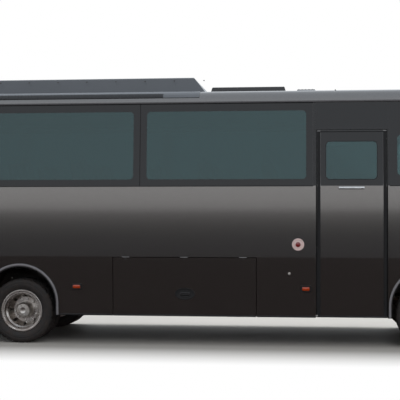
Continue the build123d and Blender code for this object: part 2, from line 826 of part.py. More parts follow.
finish(join([*side_panes(RIGHT), *side_panes(LEFT)]), "side_glass")
finish(join([windscreen, rear_pane]), "screens")

# Roof panel, its escape hatch, the air conditioning unit and the vent
roof_hole = block(
    ROOF_OPENING_X, (-ROOF_OPENING_HALF_W, ROOF_OPENING_HALF_W), (CANTRAIL_Z, 2 * ROOF_Z)
)
roof_inner = roof_form(ROOF_T, REAR_JOINT_X - CLEAR, FRONT_JOINT_X + CLEAR)
lid_straps = lid_hinges()
roof = join([roof_form(0.0)], [roof_inner, roof_hole])
finish(join([roof, *[fixed for fixed, _ in lid_straps]]), "roof_panel")


def roof_unit(x_span, half_w, top_half_w, top_z, tail_run, nose_run, radius, clear=0.0):
    """A closed box on the roof with a sloped nose and tail, sides that lean in, and a foot cut to the crown."""
    low = CANTRAIL_Z + COVE_RISE
    rear, front = x_span
    with BuildPart() as unit:
        with BuildSketch(Plane.XZ):
            with BuildLine():
                Polyline((rear, low), (front, low), (front - nose_run, top_z), (rear + tail_run, top_z),
                         close=True)
            make_face()
        extrude(amount=half_w, both=True)
        with BuildSketch(Plane.YZ.offset(rear)):
            with BuildLine():
                Polyline((-half_w, low), (half_w, low), (top_half_w, top_z), (-top_half_w, top_z), close=True)
            make_face()
        extrude(amount=front - rear, mode=Mode.INTERSECT)
        fillet(unit.edges().group_by(Axis.Z)[-1], radius)
    with BuildPart() as under:
        add(roof_form(-clear))
    return join([unit.part], [under.part])


finish(
    join([
        roof_unit(AC_X, AC_HALF_W, AC_TOP_HALF_W, AC_TOP_Z, AC_TAIL, AC_NOSE, AC_R),
        roof_unit(VENT_X, VENT_HALF_W, VENT_HALF_W - AC_R, VENT_TOP_Z, AC_R, AC_R, AC_R / 2),
    ]),
    "roof_units",
)
lid = roof_unit(
    HATCH_LID_X, HATCH_LID_HALF_W, HATCH_LID_HALF_W - AC_R, HATCH_LID_TOP_Z, AC_R, AC_R, AC_R / 2, LID_CLEAR
)
finish(join([lid, *[moving for _, moving in lid_straps]]), "roof_hatch")

# Luggage hatches: top-hinged leaves with a recessed oval handle
for side, name in ((RIGHT, "luggage_hatch_right"), (LEFT, "luggage_hatch_left")):
    leaf = side_skin(
        side, HATCH_REAR_X + SEAM, HATCH_FRONT_X - SEAM, SKIRT_Z, HATCH_TOP_Z - SEAM, 0.0, LEAF
    )
    with BuildPart() as recess:
        with BuildSketch(Plane.XZ.offset(-side * (half_width(HATCH_HANDLE[1]) - HANDLE_DEPTH))):
            with Locations(HATCH_HANDLE):
                Ellipse(HANDLE_RX, HANDLE_RZ)
        extrude(amount=-side * CLEAR)
    grip_y = side * (half_width(HATCH_HANDLE[1]) - HANDLE_DEPTH)
    with BuildPart() as grip:
        with BuildSketch(Plane.XZ.offset(-grip_y)):
            with Locations(HATCH_HANDLE):
                SlotOverall(HANDLE_RX, HANDLE_RZ / 2)
        extrude(amount=-side * HANDLE_DEPTH * 0.75)
    straps = [moving for _, moving in hatch_hinges(side)]
    finish(join([join([leaf], [recess.part]), grip.part, *straps]), name)

# Passenger door: one leaf with rubber edges, a glass upper half, a bar and four hinge lugs
door_rear, door_front = DOOR_REAR_X + DOOR_GAP, DOOR_FRONT_X - DOOR_GAP
door_low, door_high = SKIRT_Z + SEAM, DOOR_TOP_Z - SEAM
leaf = side_skin(RIGHT, door_rear, door_front, door_low, door_high, 0.0, LEAF)
edges = [
    side_skin(RIGHT, door_rear - 1, door_rear + DOOR_SEAL, door_low, door_high, -CLEAR, SEAL_STEP),
    side_skin(RIGHT, door_front - DOOR_SEAL, door_front + 1, door_low, door_high, -CLEAR, SEAL_STEP),
]
pane_span = (door_rear + DOOR_SEAL, door_front - DOOR_SEAL, SILL_Z, door_high)
glass_recess = side_skin(RIGHT, *pane_span[:3], door_high + 1, -CLEAR, GLASS)
bar = side_skin(RIGHT, *DOOR_BAR, -BAR_PROUD, 0.0)
lugs = []
for level in ARM_LEVELS:
    for low in (level - ARM_SECTION / 2 - LUG_T - SEAT_GAP, level + ARM_SECTION / 2 + SEAT_GAP):
        inner_face = half_width(low + LUG_T) - LEAF
        lugs.append(
            block(
                (DOOR_PIVOT_X - ARM_EYE_R, DOOR_PIVOT_X + ARM_EYE_R),
                (-inner_face - 1, -DOOR_PIVOT_Y),
                (low, low + LUG_T),
            )
        )
        lugs.append(
            rod((DOOR_PIVOT_X, -DOOR_PIVOT_Y, low), (DOOR_PIVOT_X, -DOOR_PIVOT_Y, low + LUG_T), ARM_EYE_R)
        )
    reach = ARM_SECTION / 2 + LUG_T
    lugs.append(
        rod(
            (DOOR_PIVOT_X, -DOOR_PIVOT_Y, level - reach),
            (DOOR_PIVOT_X, -DOOR_PIVOT_Y, level + reach),
            ARM_PIN_R,
        )
    )
door_leaf = join(
    [leaf, bar, *lugs], [*edges, glass_recess, light_cutter(RIGHT, *DOOR_LIGHT)]
)
finish(door_leaf, "passenger_door")
finish(
    side_skin(RIGHT, pane_span[0] + 2, pane_span[1] - 2, pane_span[2] + 2, pane_span[3] - 2, 0.0, GLASS),
    "passenger_door_glass",
)


def door_arms():
    """The turning post inside the doorway, with two cranked arms that reach round the door frame."""
    foot_z = TREADS[0][0] + SEAT_GAP
    top_z = DOOR_TOP_Z - HEADER_T - SEAT_GAP
    turn = math.radians(ARM_REST + DOOR_SWING)
    back = math.radians(DOOR_SWING)
    knee = Vector(0, -DOOR_ARM_OUT).rotate(Axis.Z, DOOR_SWING)
    tip = Vector(DOOR_ARM_R * math.cos(turn), -DOOR_ARM_R * math.sin(turn)).rotate(Axis.Z, DOOR_SWING)
    post = (DOOR_POST_X, -DOOR_POST_Y)
    knee_at = (post[0] + knee.X, post[1] + knee.Y)
    tip_at = (post[0] + tip.X, post[1] + tip.Y)
    with BuildPart() as arms:
        with BuildSketch(Plane.XY.offset(foot_z)):
            with Locations(post):
                Circle(DOOR_POST_R)
        extrude(amount=top_z - foot_z)
        for level in ARM_LEVELS:
            with BuildSketch(Plane.XY.offset(level - ARM_SECTION / 2)):
                with BuildLine():
                    FilletPolyline(post, knee_at, tip_at, radius=CLEAR / 2)
                trace(line_width=ARM_SECTION)
                with Locations(tip_at):
                    Circle(ARM_EYE_R)
                    Circle(ARM_PIN_R + RUNNING, mode=Mode.SUBTRACT)
            extrude(amount=ARM_SECTION)
    return arms.part


finish(door_arms(), "door_arms")

# Driver's door
driver_span = (DRIVER_REAR_X + DRIVER_GAP, DRIVER_FRONT_X - SEAM)
driver_low, driver_high = DRIVER_LOW_Z + SEAM, DRIVER_TOP_Z - SEAM
leaf = side_skin(LEFT, *driver_span, driver_low, driver_high, 0.0, LEAF)
recess = side_skin(LEFT, driver_span[0] - 1, driver_span[1] + 1, SILL_Z, driver_high + 1, -CLEAR, GLASS)
straps = [moving for _, moving in driver_hinges()]
finish(join([join([leaf], [recess, light_cutter(LEFT, *DRIVER_LIGHT)]), *straps]), "driver_door")
finish(
    side_skin(LEFT, driver_span[0] + 2, driver_span[1] - 2, SILL_Z + 2, driver_high - 2, 0.0, GLASS),
    "driver_door_glass",
)

# Side fittings
markers = [
    side_skin(
        side, x - MARKER_W / 2, x + MARKER_W / 2, z - MARKER_H / 2, z + MARKER_H / 2, -MARKER_PROUD, 0.0
    )
    for side in (RIGHT, LEFT)
    for x, z in MARKERS
]
finish(join(markers), "marker_lamps")
buttons = []
for (x, z), radius in ((RELEASE, RELEASE_R), (KEY_SWITCH, KEY_SWITCH_R)):
    with BuildPart() as button:
        with BuildSketch(Plane.XZ.offset(half_width(z) - RELEASE_PROUD)):
            with Locations((x, z)):
                Circle(radius)
        extrude(amount=2 * RELEASE_PROUD)
    skin_depth = side_skin(RIGHT, x - CLEAR * 2, x + CLEAR * 2, z - CLEAR * 2, z + CLEAR * 2, 0.0, 4 * CLEAR)
    buttons.append(join([button.part], [skin_depth]))
finish(join(buttons), "door_release")


# Wheels
def wheel_plane(axle_x, y):
    """The plane through a wheel's axis, with its radius along X and its width along Y."""
    return Plane(origin=(axle_x, y, TYRE_R), x_dir=(1, 0, 0), z_dir=(0, 0, 1))


def axle_line(axle_x):
    """The line that an axle's wheels turn about."""
    return Axis((axle_x, 0, TYRE_R), (0, 1, 0))


def tyre(axle_x, y):
    """A tyre, with its bulged walls and rounded shoulders, on its bead seats."""
    bead_y, shoulder_r = RIM_W / 2 - RIM_T, TYRE_R - 18
    bulge_y, bulge_r = TYRE_W / 2, (RIM_R + TYRE_R) / 2 - 12
    with BuildPart() as ring:
        with BuildSketch(wheel_plane(axle_x, y)):
            with BuildLine() as half:
                Line((BEAD_R, 0), (BEAD_R, bead_y))
                Line((BEAD_R, bead_y), (RIM_R + 1, bead_y))
                ThreePointArc((RIM_R + 1, bead_y), (bulge_r, bulge_y), (shoulder_r, TREAD_W / 2 + 10))
                ThreePointArc(
                    (shoulder_r, TREAD_W / 2 + 10), (TYRE_R - 6, TREAD_W / 2 + 4), (TYRE_R, TREAD_W / 2 - 8)
                )
                Line((TYRE_R, TREAD_W / 2 - 8), (TYRE_R, 0))
                mirror(half.line, about=Plane.XZ)
            make_face()
        revolve(axis=axle_line(axle_x))
    return ring.part


def rim(axle_x, y, out):
    """A steel rim and its disc, which meets the hub at DISC_OFFSET on the side that out gives."""
    face = out * DISC_OFFSET
    with BuildPart() as wheel:
        with BuildSketch(wheel_plane(axle_x, y)):
            with BuildLine():
                outer = [
                    (RIM_R, RIM_W / 2), (RIM_R, RIM_W / 2 - RIM_T), (BEAD_R, RIM_W / 2 - RIM_T),
                    (BEAD_R, RIM_W / 4), (DROP_R, RIM_W / 8),
                ]
                inner = [
                    (DROP_R - RIM_T, RIM_W / 8), (BEAD_R - RIM_T, RIM_W / 4), (BEAD_R - RIM_T, RIM_W / 2),
                ]
                under = [(r, -w) for r, w in reversed(outer)]
                Polyline(*outer, *under, *[(r, -w) for r, w in reversed(inner)], *inner, close=True)
            make_face()
            with BuildLine():
                Polyline(
                    (DROP_R - 2, -out * RIM_W / 8), (DROP_R - 2, out * RIM_W / 8),
                    (HAND_HOLE_PCD_R, face), (HUB_NOSE_R, face), (HUB_NOSE_R, face - out * DISC_T),
                    (HAND_HOLE_PCD_R - DISC_T / 2, face - out * DISC_T), close=True,
                )
            make_face()
        revolve(axis=axle_line(axle_x))
        holes = Plane(origin=(axle_x, y, TYRE_R), x_dir=(1, 0, 0), z_dir=(0, 1, 0))
        with BuildSketch(holes):
            with PolarLocations(HAND_HOLE_PCD_R + DISC_T, HAND_HOLES):
                Circle(HAND_HOLE_R)
        extrude(amount=DISC_OFFSET + DISC_T, both=True, mode=Mode.SUBTRACT)
    return wheel.part


def turned(axle_x, points):
    """A solid turned about an axle from (radius, y) points."""
    with BuildPart() as solid:
        with BuildSketch(wheel_plane(axle_x, 0)):
            with BuildLine():
                Polyline(*points, close=True)
            make_face()
        revolve(axis=axle_line(axle_x))
    return solid.part


def front_hub(side):
    """The front hub and brake drum, bored for the spindle and closed by a cap."""
    bore, plane, face = SPINDLE_R + RUNNING, WHEEL_PLANE_Y, WHEEL_PLANE_Y + DISC_OFFSET
    start, cap = HUB_START_Y, face + CAP_L
    points = [
        (bore, start), (HUB_NOSE_R, start), (HUB_NOSE_R, start + HUB_STEP), (DRUM_R, start + HUB_STEP),
        (DRUM_R, plane + DRUM_W), (HUB_R, face - HUB_STEP), (HUB_R, face), (HUB_NOSE_R, face + DISC_T),
        (HUB_NOSE_R - DISC_T, cap), (0, cap), (0, cap - 2 * CAP_L), (bore, cap - 2 * CAP_L),
    ]
    return turned(FRONT_AXLE_X, [(r, side * y) for r, y in points])


def rear_hub(side):
    """The rear hub and brake drum, with the long cone that stands out through the outer wheel."""
    bore, inner_plane = REAR_SPINDLE_R + RUNNING, WHEEL_PLANE_Y - TWIN_SPACING
    face, end = WHEEL_PLANE_Y - DISC_OFFSET, WHEEL_PLANE_Y + HUB_REACH
    start = inner_plane - RIM_W / 2
    points = [
        (bore, start), (HUB_NOSE_R, start), (HUB_NOSE_R, start + HUB_STEP), (DRUM_R, start + HUB_STEP),
        (DRUM_R, inner_plane + DRUM_W), (HUB_R, face - HUB_STEP), (HUB_R, face + HUB_STEP),
        (HUB_NOSE_R + DISC_T, end - DISC_T), (HUB_NOSE_R, end), (DISC_T, end), (DISC_T, end - DISC_T),
        (0, end - DISC_T), (0, end - CAP_L - DISC_T), (bore, end - CAP_L - DISC_T),
    ]
    return turned(REAR_AXLE_X, [(r, side * y) for r, y in points])


for side, name in ((RIGHT, "right"), (LEFT, "left")):
    outer_y, inner_y = side * WHEEL_PLANE_Y, side * (WHEEL_PLANE_Y - TWIN_SPACING)
    finish(tyre(FRONT_AXLE_X, outer_y), f"tyre_front_{name}")
    finish(join([rim(FRONT_AXLE_X, outer_y, side), front_hub(side)]), f"wheel_front_{name}")
    finish(join([tyre(REAR_AXLE_X, outer_y), tyre(REAR_AXLE_X, inner_y)]), f"tyres_rear_{name}")
    twin = [rim(REAR_AXLE_X, outer_y, -side), rim(REAR_AXLE_X, inner_y, side), rear_hub(side)]
    finish(join(twin), f"wheels_rear_{name}")

# Front axle: a dropped beam with an eye for each kingpin
beam_top = [(BEAM_END_Y, EYE_TOP), *BEAM_NECK]
beam_low = [(y, z - BEAM_H) for y, z in reversed(beam_top)]
with BuildPart() as beam:
    with BuildSketch(Plane.YZ.offset(FRONT_AXLE_X)):
        with BuildLine():
            half = [*beam_low, *beam_top]
            Polyline(*beam_low, *beam_top, *[(-y, z) for y, z in reversed(half)], close=True)
        make_face()
    extrude(amount=BEAM_W / 2, both=True)
    for side in (RIGHT, LEFT):
        with BuildSketch(Plane.XY.offset(TYRE_R - EYE_H / 2)):
            with Locations((FRONT_AXLE_X, side * KINGPIN_Y)):
                Circle(EYE_BOSS_R)
        extrude(amount=EYE_H)
    for side in (RIGHT, LEFT):
        with BuildSketch(Plane.XY.offset(TYRE_R - EYE_H)):
            with Locations((FRONT_AXLE_X, side * KINGPIN_Y)):
                Circle(KINGPIN_R + RUNNING)
        extrude(amount=2 * EYE_H, mode=Mode.SUBTRACT)
finish(beam.part, "front_axle_beam")


def knuckle(side, arm_bore):
    """A forked steering knuckle: two lugs on the kingpin, a web, the spindle and the steering arm."""
    pin = (FRONT_AXLE_X, side * KINGPIN_Y)
    web_y = (side * (KINGPIN_Y + WEB_OFFSET), side * (KINGPIN_Y + WEB_OFFSET + WEB_T))
    lug_high = TYRE_R + EYE_H / 2 + SEAT_GAP
    lug_low = TYRE_R - EYE_H / 2 - SEAT_GAP - FORK_T
    arm_end = (FRONT_AXLE_X - STEER_ARM, side * KINGPIN_Y)
    spindle_end = side * (WHEEL_PLANE_Y + DISC_OFFSET - CAP_L - SEAT_GAP)
    with BuildPart() as body:
        for z in (lug_low, lug_high):
            with BuildSketch(Plane.XY.offset(z)):
                with Locations(pin):
                    Circle(EYE_BOSS_R)
                with Locations((pin[0], (pin[1] + web_y[1]) / 2)):
                    Rectangle(2 * EYE_BOSS_R, abs(web_y[1] - pin[1]))
            extrude(amount=FORK_T)
        with BuildSketch(Plane.XY.offset(lug_low)):
            with Locations((pin[0], sum(web_y) / 2)):
                Rectangle(2 * EYE_BOSS_R, WEB_T)
        extrude(amount=lug_high + FORK_T - lug_low)
        with BuildSketch(Plane.XY.offset(lug_low)):
            with Locations(pin):
                Circle(KINGPIN_R)
        extrude(amount=lug_high + FORK_T - lug_low)
        with BuildSketch(Plane.XY.offset(lug_low)):
            with Locations(((pin[0] + arm_end[0]) / 2, pin[1])):
                Rectangle(STEER_ARM, ARM_EYE)
            with Locations(arm_end):
                Circle(ARM_EYE)
            with Locations(arm_end):
                Circle(arm_bore, mode=Mode.SUBTRACT)
        extrude(amount=FORK_T)
        with BuildSketch(Plane.XZ.offset(-web_y[0])):
            with Locations((FRONT_AXLE_X, TYRE_R)):
                Circle(SPINDLE_R)
        extrude(amount=-(spindle_end - web_y[0]))
    return body.part


finish(knuckle(LEFT, TIE_STUD_R + RUNNING), "knuckle_left")
finish(knuckle(RIGHT, TIE_STUD_R + OPEN_PIVOT), "knuckle_right")

# Tie rod: a bar behind the beam with an eye and a stud under each steering arm
tie_x, tie_top = FRONT_AXLE_X - STEER_ARM, TYRE_R - EYE_H / 2 - SEAT_GAP - FORK_T - SEAT_GAP
tie_z = tie_top - ARM_EYE / 2
with BuildPart() as tie_rod:
    with BuildSketch(Plane.XZ.offset(-KINGPIN_Y)):
        with Locations((tie_x, tie_z)):
            Circle(TIE_ROD_R)
    extrude(amount=2 * KINGPIN_Y)
    for side in (RIGHT, LEFT):
        with BuildSketch(Plane.XY.offset(tie_top - ARM_EYE)):
            with Locations((tie_x, side * KINGPIN_Y)):
                Circle(ARM_EYE - 2)
        extrude(amount=ARM_EYE)
        with BuildSketch(Plane.XY.offset(tie_z)):
            with Locations((tie_x, side * KINGPIN_Y)):
                Circle(TIE_STUD_R)
        extrude(amount=ARM_EYE / 2 + FORK_T)
finish(tie_rod.part, "tie_rod")

# Rear axle: tube, banjo, pinion nose, spindles and spring pads in one casting
pads = [
    block(
        (REAR_AXLE_X - PAD_HALF, REAR_AXLE_X + PAD_HALF),
        (side * RAIL_Y - SPRING_W / 2, side * RAIL_Y + SPRING_W / 2),
        (TYRE_R, TYRE_R + AXLE_TUBE_R),
    )
    for side in (RIGHT, LEFT)
]
spindle_y = WHEEL_PLANE_Y + HUB_REACH - CAP_L - HUB_STEP
with BuildPart() as banjo:
    with BuildSketch(Plane.YZ.offset(REAR_AXLE_X)):
        with Locations((0, TYRE_R)):
            Circle(BANJO_R)
    extrude(amount=BANJO_HALF_L, both=True, taper=BANJO_TAPER)
finish(
    join([
        rod((REAR_AXLE_X, -AXLE_HALF, TYRE_R), (REAR_AXLE_X, AXLE_HALF, TYRE_R), AXLE_TUBE_R),
        rod((REAR_AXLE_X, -spindle_y, TYRE_R), (REAR_AXLE_X, spindle_y, TYRE_R), REAR_SPINDLE_R),
        rod((REAR_AXLE_X, 0, TYRE_R), (REAR_AXLE_X + PINION_L, 0, TYRE_R), AXLE_TUBE_R),
        banjo.part,
        *pads,
    ]),
    "rear_axle",
)


def leaf_spring(axle_x, y, seat_z):
    """One leaf spring pack: an upward bow over its seat, an eye at each end and a hanger to the frame."""
    ends = [axle_x - SPRING_HALF, axle_x + SPRING_HALF]
    eye_z = seat_z + SPRING_RISE + SPRING_T / 2
    with BuildPart() as spring:
        with BuildSketch(Plane.XZ.offset(-y - SPRING_W / 2)):
            with BuildLine():
                ThreePointArc(
                    (ends[0], seat_z + SPRING_RISE), (axle_x, seat_z), (ends[1], seat_z + SPRING_RISE)
                )
                Line((ends[1], seat_z + SPRING_RISE), (ends[1], eye_z + SPRING_T / 2))
                ThreePointArc(
                    (ends[1], eye_z + SPRING_T / 2), (axle_x, seat_z + SPRING_T),
                    (ends[0], eye_z + SPRING_T / 2),
                )
                Line((ends[0], eye_z + SPRING_T / 2), (ends[0], seat_z + SPRING_RISE))
            make_face()
            with Locations(*[(x, eye_z) for x in ends]):
                Circle(EYE_R)
            rail_low = RAIL_TOP_Z - RAIL_H
            with Locations(*[(x, (eye_z + rail_low) / 2) for x in ends]):
                Rectangle(EYE_R, rail_low - eye_z)
        extrude(amount=SPRING_W)
    return spring.part


springs = [
    leaf_spring(axle_x, side * RAIL_Y, seat_z)
    for axle_x, seat_z in ((FRONT_AXLE_X, BEAM_TOP_Z), (REAR_AXLE_X, TYRE_R + AXLE_TUBE_R))
    for side in (RIGHT, LEFT)
]
finish(join(springs), "leaf_springs")

# Frame: two channel rails, cross members, floor bearers and the towing lugs
rail_low = RAIL_TOP_Z - RAIL_H
rails = []
for side in (RIGHT, LEFT):
    outer_y, inner_y = side * (RAIL_Y + RAIL_W / 2), side * (RAIL_Y - RAIL_W / 2)
    web_y = side * (RAIL_Y + RAIL_W / 2 - RAIL_T)
    with BuildPart() as rail:
        with BuildSketch(Plane.YZ.offset(RAIL_ENDS[0])):
            with BuildLine():
                Polyline(
                    (inner_y, rail_low), (outer_y, rail_low), (outer_y, RAIL_TOP_Z), (inner_y, RAIL_TOP_Z),
                    (inner_y, RAIL_TOP_Z - RAIL_T), (web_y, RAIL_TOP_Z - RAIL_T),
                    (web_y, rail_low + RAIL_T), (inner_y, rail_low + RAIL_T), close=True,
                )
            make_face()
        extrude(amount=RAIL_ENDS[1] - RAIL_ENDS[0])
    rails.append(rail.part)
web_in = RAIL_Y + RAIL_W / 2 - RAIL_T
members = [
    block((x - BEARER_W / 2, x + BEARER_W / 2), (-web_in, web_in), (CROSS_LOW_Z, CROSS_HIGH_Z))
    for x in (*BEARER_XS, RAIL_ENDS[1] - BEARER_W / 2)
]
bearers = [
    block(
        (x - BEARER_W / 2, x + BEARER_W / 2), (-RAIL_Y - RAIL_W / 2, RAIL_Y + RAIL_W / 2),
        (RAIL_TOP_Z, FLOOR_Z - FLOOR_T),
    )
    for x in BEARER_XS
    if x > REAR_STEP_X
]
lug_holes = []
for side in (RIGHT, LEFT):
    lug_y, tow_y = side * RAIL_Y, side * TOW_Y
    lug_z = (TOW_LUG_Z - TOW_LUG_T / 2, TOW_LUG_Z + TOW_LUG_T / 2)
    lug_x = (TOW_LUG_X - 2 * TOW_HOLE_R, TOW_LUG_X + 2 * TOW_HOLE_R)
    rails.append(block(lug_x, sorted((lug_y, lug_y - side * TOW_LUG_T)), (lug_z[0], rail_low)))
    rails.append(block(lug_x, sorted((lug_y, tow_y - side * 2 * TOW_HOLE_R)), lug_z))
    lug_holes.append(rod((TOW_LUG_X, tow_y, lug_z[0] - 1), (TOW_LUG_X, tow_y, lug_z[1] + 1), TOW_HOLE_R))
finish(join([*rails, *members, *bearers], lug_holes), "chassis_frame")

# Engine with its gearbox, propshaft, exhaust and fuel tank
engine_x, engine_y, engine_z = ENGINE
gearbox = block((GEARBOX_REAR_X, engine_x[0]), (-GEARBOX_HALF_W, GEARBOX_HALF_W), GEARBOX_Z)
feet = [
    block((x, x + BEARER_W), (side * engine_y[1], side * web_in), (rail_low + RAIL_T, CROSS_HIGH_Z))
    for side in (RIGHT, LEFT)
    for x in (engine_x[0] + BEARER_W, engine_x[1] - 3 * BEARER_W)
]
finish(join([block(engine_x, engine_y, engine_z), gearbox, *feet]), "engine")
shaft_from = (REAR_AXLE_X + PINION_L + SEAT_GAP, 0, TYRE_R)
shaft_to = (GEARBOX_REAR_X - SEAT_GAP, 0, SHAFT_Z)
with BuildPart() as shaft_ends:
    for at in (shaft_from, shaft_to):
        toward = 1 if at is shaft_from else -1
        with BuildSketch(Plane.YZ.offset(at[0])):
            with Locations((0, at[2])):
                Circle(PROPSHAFT_R * 1.4)
        extrude(amount=toward * PROPSHAFT_R * 1.5)
shaft = rod(
    (shaft_from[0] + PROPSHAFT_R, 0, shaft_from[2]), (shaft_to[0] - PROPSHAFT_R, 0, shaft_to[2]), PROPSHAFT_R
)
finish(join([shaft, shaft_ends.part]), "propshaft")

pipe = rod((EXHAUST_X[0], EXHAUST_Y, EXHAUST_Z), (EXHAUST_X[1], EXHAUST_Y, EXHAUST_Z), EXHAUST_R)
silencer = rod((SILENCER_X[0], EXHAUST_Y, EXHAUST_Z), (SILENCER_X[1], EXHAUST_Y, EXHAUST_Z), SILENCER_R)
hangers = [
    block((x - STRAP / 2, x + STRAP / 2), (EXHAUST_Y - STRAP, EXHAUST_Y + STRAP), (EXHAUST_Z, CROSS_LOW_Z))
    for x in (BEARER_XS[1], BEARER_XS[3], BEARER_XS[5])
]
finish(join([pipe, silencer, *hangers]), "exhaust")
tank_x, tank_y, tank_z = TANK
with BuildPart() as tank:
    with BuildSketch(Plane.YZ.offset(tank_x[0])):
        with Locations((sum(tank_y) / 2, sum(tank_z) / 2)):
            RectangleRounded(tank_y[1] - tank_y[0], tank_z[1] - tank_z[0], TANK_R)
    extrude(amount=tank_x[1] - tank_x[0])
brackets = [
    block((x - BEARER_W / 2, x + BEARER_W / 2), (RAIL_Y + RAIL_W / 2, tank_y[0] + TANK_R),
          (CROSS_LOW_Z, CROSS_HIGH_Z))
    for x in (tank_x[0] + 3 * BEARER_W, tank_x[1] - 3 * BEARER_W)
]
finish(join([tank.part, *brackets]), "fuel_tank")

# Cabin floor: main floor, step well, engine hump, raised rear floor and its riser
inside = HALF - WALL
floor_low = FLOOR_Z - FLOOR_T
nose_room = end_form(True, END_WALL + SEAT_GAP, SKIRT_Z - CLEAR)
tail_room = end_form(False, END_WALL + SEAT_GAP, SKIRT_Z - CLEAR)
main_floor = block((REAR_STEP_X, FRONT_JOINT_X), (-inside, inside), (floor_low, FLOOR_Z))
nose_floor = overlap(
    block((FRONT_JOINT_X - 1, LENGTH / 2), (-HALF, HALF), (floor_low, FLOOR_Z)), nose_room
)
rear_floor = block(
    (REAR_JOINT_X, REAR_STEP_X), (-inside, inside), (REAR_FLOOR_Z - FLOOR_T, REAR_FLOOR_Z)
)
tail_floor = overlap(
    block((-LENGTH / 2, REAR_JOINT_X), (-HALF, HALF), (REAR_FLOOR_Z - FLOOR_T, REAR_FLOOR_Z)), tail_room
)
riser = block((REAR_STEP_X, REAR_STEP_X + TREAD_T), (-inside, inside), (floor_low, REAR_FLOOR_Z))
well_hole = block((WELL_X[0] + WELL_SHEET, WELL_X[1] - WELL_SHEET), (-HALF, -STAIR_IN_Y), (0, 2 * FLOOR_Z))
stair_top = [(-y, z) for z, out_y, in_y in TREADS for y in (out_y, in_y)]
stair_top.append((-STAIR_IN_Y, FLOOR_Z))
stair_under = [(stair_top[0][0], TREADS[0][0] - TREAD_T)]
for (z, _, in_y), rise_z in zip(TREADS, [*[tread[0] for tread in TREADS[1:]], FLOOR_Z + TREAD_T]):
    stair_under += [(TREAD_T - in_y, z - TREAD_T), (TREAD_T - in_y, rise_z - TREAD_T)]
with BuildPart() as stairs:
    with BuildSketch(Plane.YZ.offset(WELL_X[0])):
        with BuildLine():
            Polyline(*stair_top, *reversed(stair_under), close=True)
        make_face()
    extrude(amount=WELL_X[1] - WELL_X[0])
well_sides = []
for x in (WELL_X[0], WELL_X[1] - WELL_SHEET):
    with BuildPart() as well_side:
        with BuildSketch(Plane.YZ.offset(x)):
            with BuildLine():
                Polyline(
                    (-HALF, stair_under[0][1]), *stair_under[1:], (-HALF, FLOOR_Z), close=True,
                )
            make_face()
        extrude(amount=WELL_SHEET)
    well_sides.append(well_side.part)
outside = side_skin(
    RIGHT, WELL_X[0] - CLEAR, WELL_X[1] + CLEAR, SKIRT_Z - CLEAR, SILL_Z, -2 * CLEAR, WALL
)
hump = block(HUMP_X, (-HUMP_HALF_W, HUMP_HALF_W), (floor_low, HUMP_TOP_Z))
hump_room = block(
    (HUMP_X[0] + HUMP_T, HUMP_X[1] + 1), (HUMP_T - HUMP_HALF_W, HUMP_HALF_W - HUMP_T),
    (0, HUMP_TOP_Z - HUMP_T),
)
floor = join([main_floor, nose_floor], [well_hole])
floor = join(
    [floor, riser, rear_floor, tail_floor, hump, join([stairs.part, *well_sides], [outside])], [hump_room]
)
finish(floor, "cabin_floor")

# Luggage bays behind the hatches, and the boot behind its lid
bays = []
bay_out = half_width(BAY_FLOOR_Z - BAY_SHEET) - WALL
for side in (RIGHT, LEFT):
    out_y, in_y = side * bay_out, side * (bay_out - BAY_DEPTH)
    span = (HATCH_REAR_X - BAY_SHEET, HATCH_FRONT_X + BAY_SHEET)
    box = block(span, (in_y, out_y), (BAY_FLOOR_Z - BAY_SHEET, floor_low))
    room = block(
        (HATCH_REAR_X, HATCH_FRONT_X), (in_y + side * BAY_SHEET, out_y + side), (BAY_FLOOR_Z, FLOOR_Z)
    )
    bays.append(join([box], [room]))
boot_span = (BOOT_HALF_W + BAY_SHEET, BOOT_HALF_W)
boot = overlap(
    block((-LENGTH / 2, BOOT_FRONT_X + BAY_SHEET), (-boot_span[0], boot_span[0]),
          (RAIL_TOP_Z, REAR_FLOOR_Z - FLOOR_T)),
    join([tail_room, block((REAR_JOINT_X - 1, 0), (-HALF, HALF), (SKIRT_Z, CANTRAIL_Z))]),
)
boot_room = block(
    (-LENGTH, BOOT_FRONT_X), (-boot_span[1], boot_span[1]), (RAIL_TOP_Z + BAY_SHEET, REAR_FLOOR_Z)
)
finish(join([*bays, join([boot], [boot_room])]), "luggage_bays")


# Seats
def seat(x, y, width, floor_z):
    """A seat on its pedestal: cushion and reclined back in one side profile."""
    with BuildPart() as piece:
        with BuildSketch(Plane.XZ.offset(-y - width / 2)):
            with BuildLine():
                FilletPolyline(
                    (x, floor_z + SEAT_H - CUSHION_T), (x + CUSHION_L, floor_z + SEAT_H - CUSHION_T),
                    (x + CUSHION_L, floor_z + SEAT_H), (x + BACK_T, floor_z + SEAT_H),
                    (x + BACK_T - RECLINE, floor_z + SEAT_BACK_H), (x - RECLINE, floor_z + SEAT_BACK_H),
                    radius=SEAT_ROUND, close=True,
                )
            make_face()
        extrude(amount=width)
        with BuildSketch(Plane.XY.offset(floor_z)):
            with Locations((x + CUSHION_L / 2, y)):
                Rectangle(CUSHION_L / 2, SEAT_LEG_W)
        extrude(amount=SEAT_H - CUSHION_T / 2)
    return piece.part


seats = []
for side, (first_x, rows) in ((RIGHT, RIGHT_ROW_X), (LEFT, LEFT_ROW_X)):
    for k in range(rows):
        seats.append(seat(first_x + k * SEAT_PITCH, side * SEAT_Y, SEAT_W, FLOOR_Z))
seats.append(seat(BENCH_X, 0, BENCH_W, REAR_FLOOR_Z))
seats.append(seat(*DRIVER_SEAT, FLOOR_Z))
finish(join(seats), "seats")

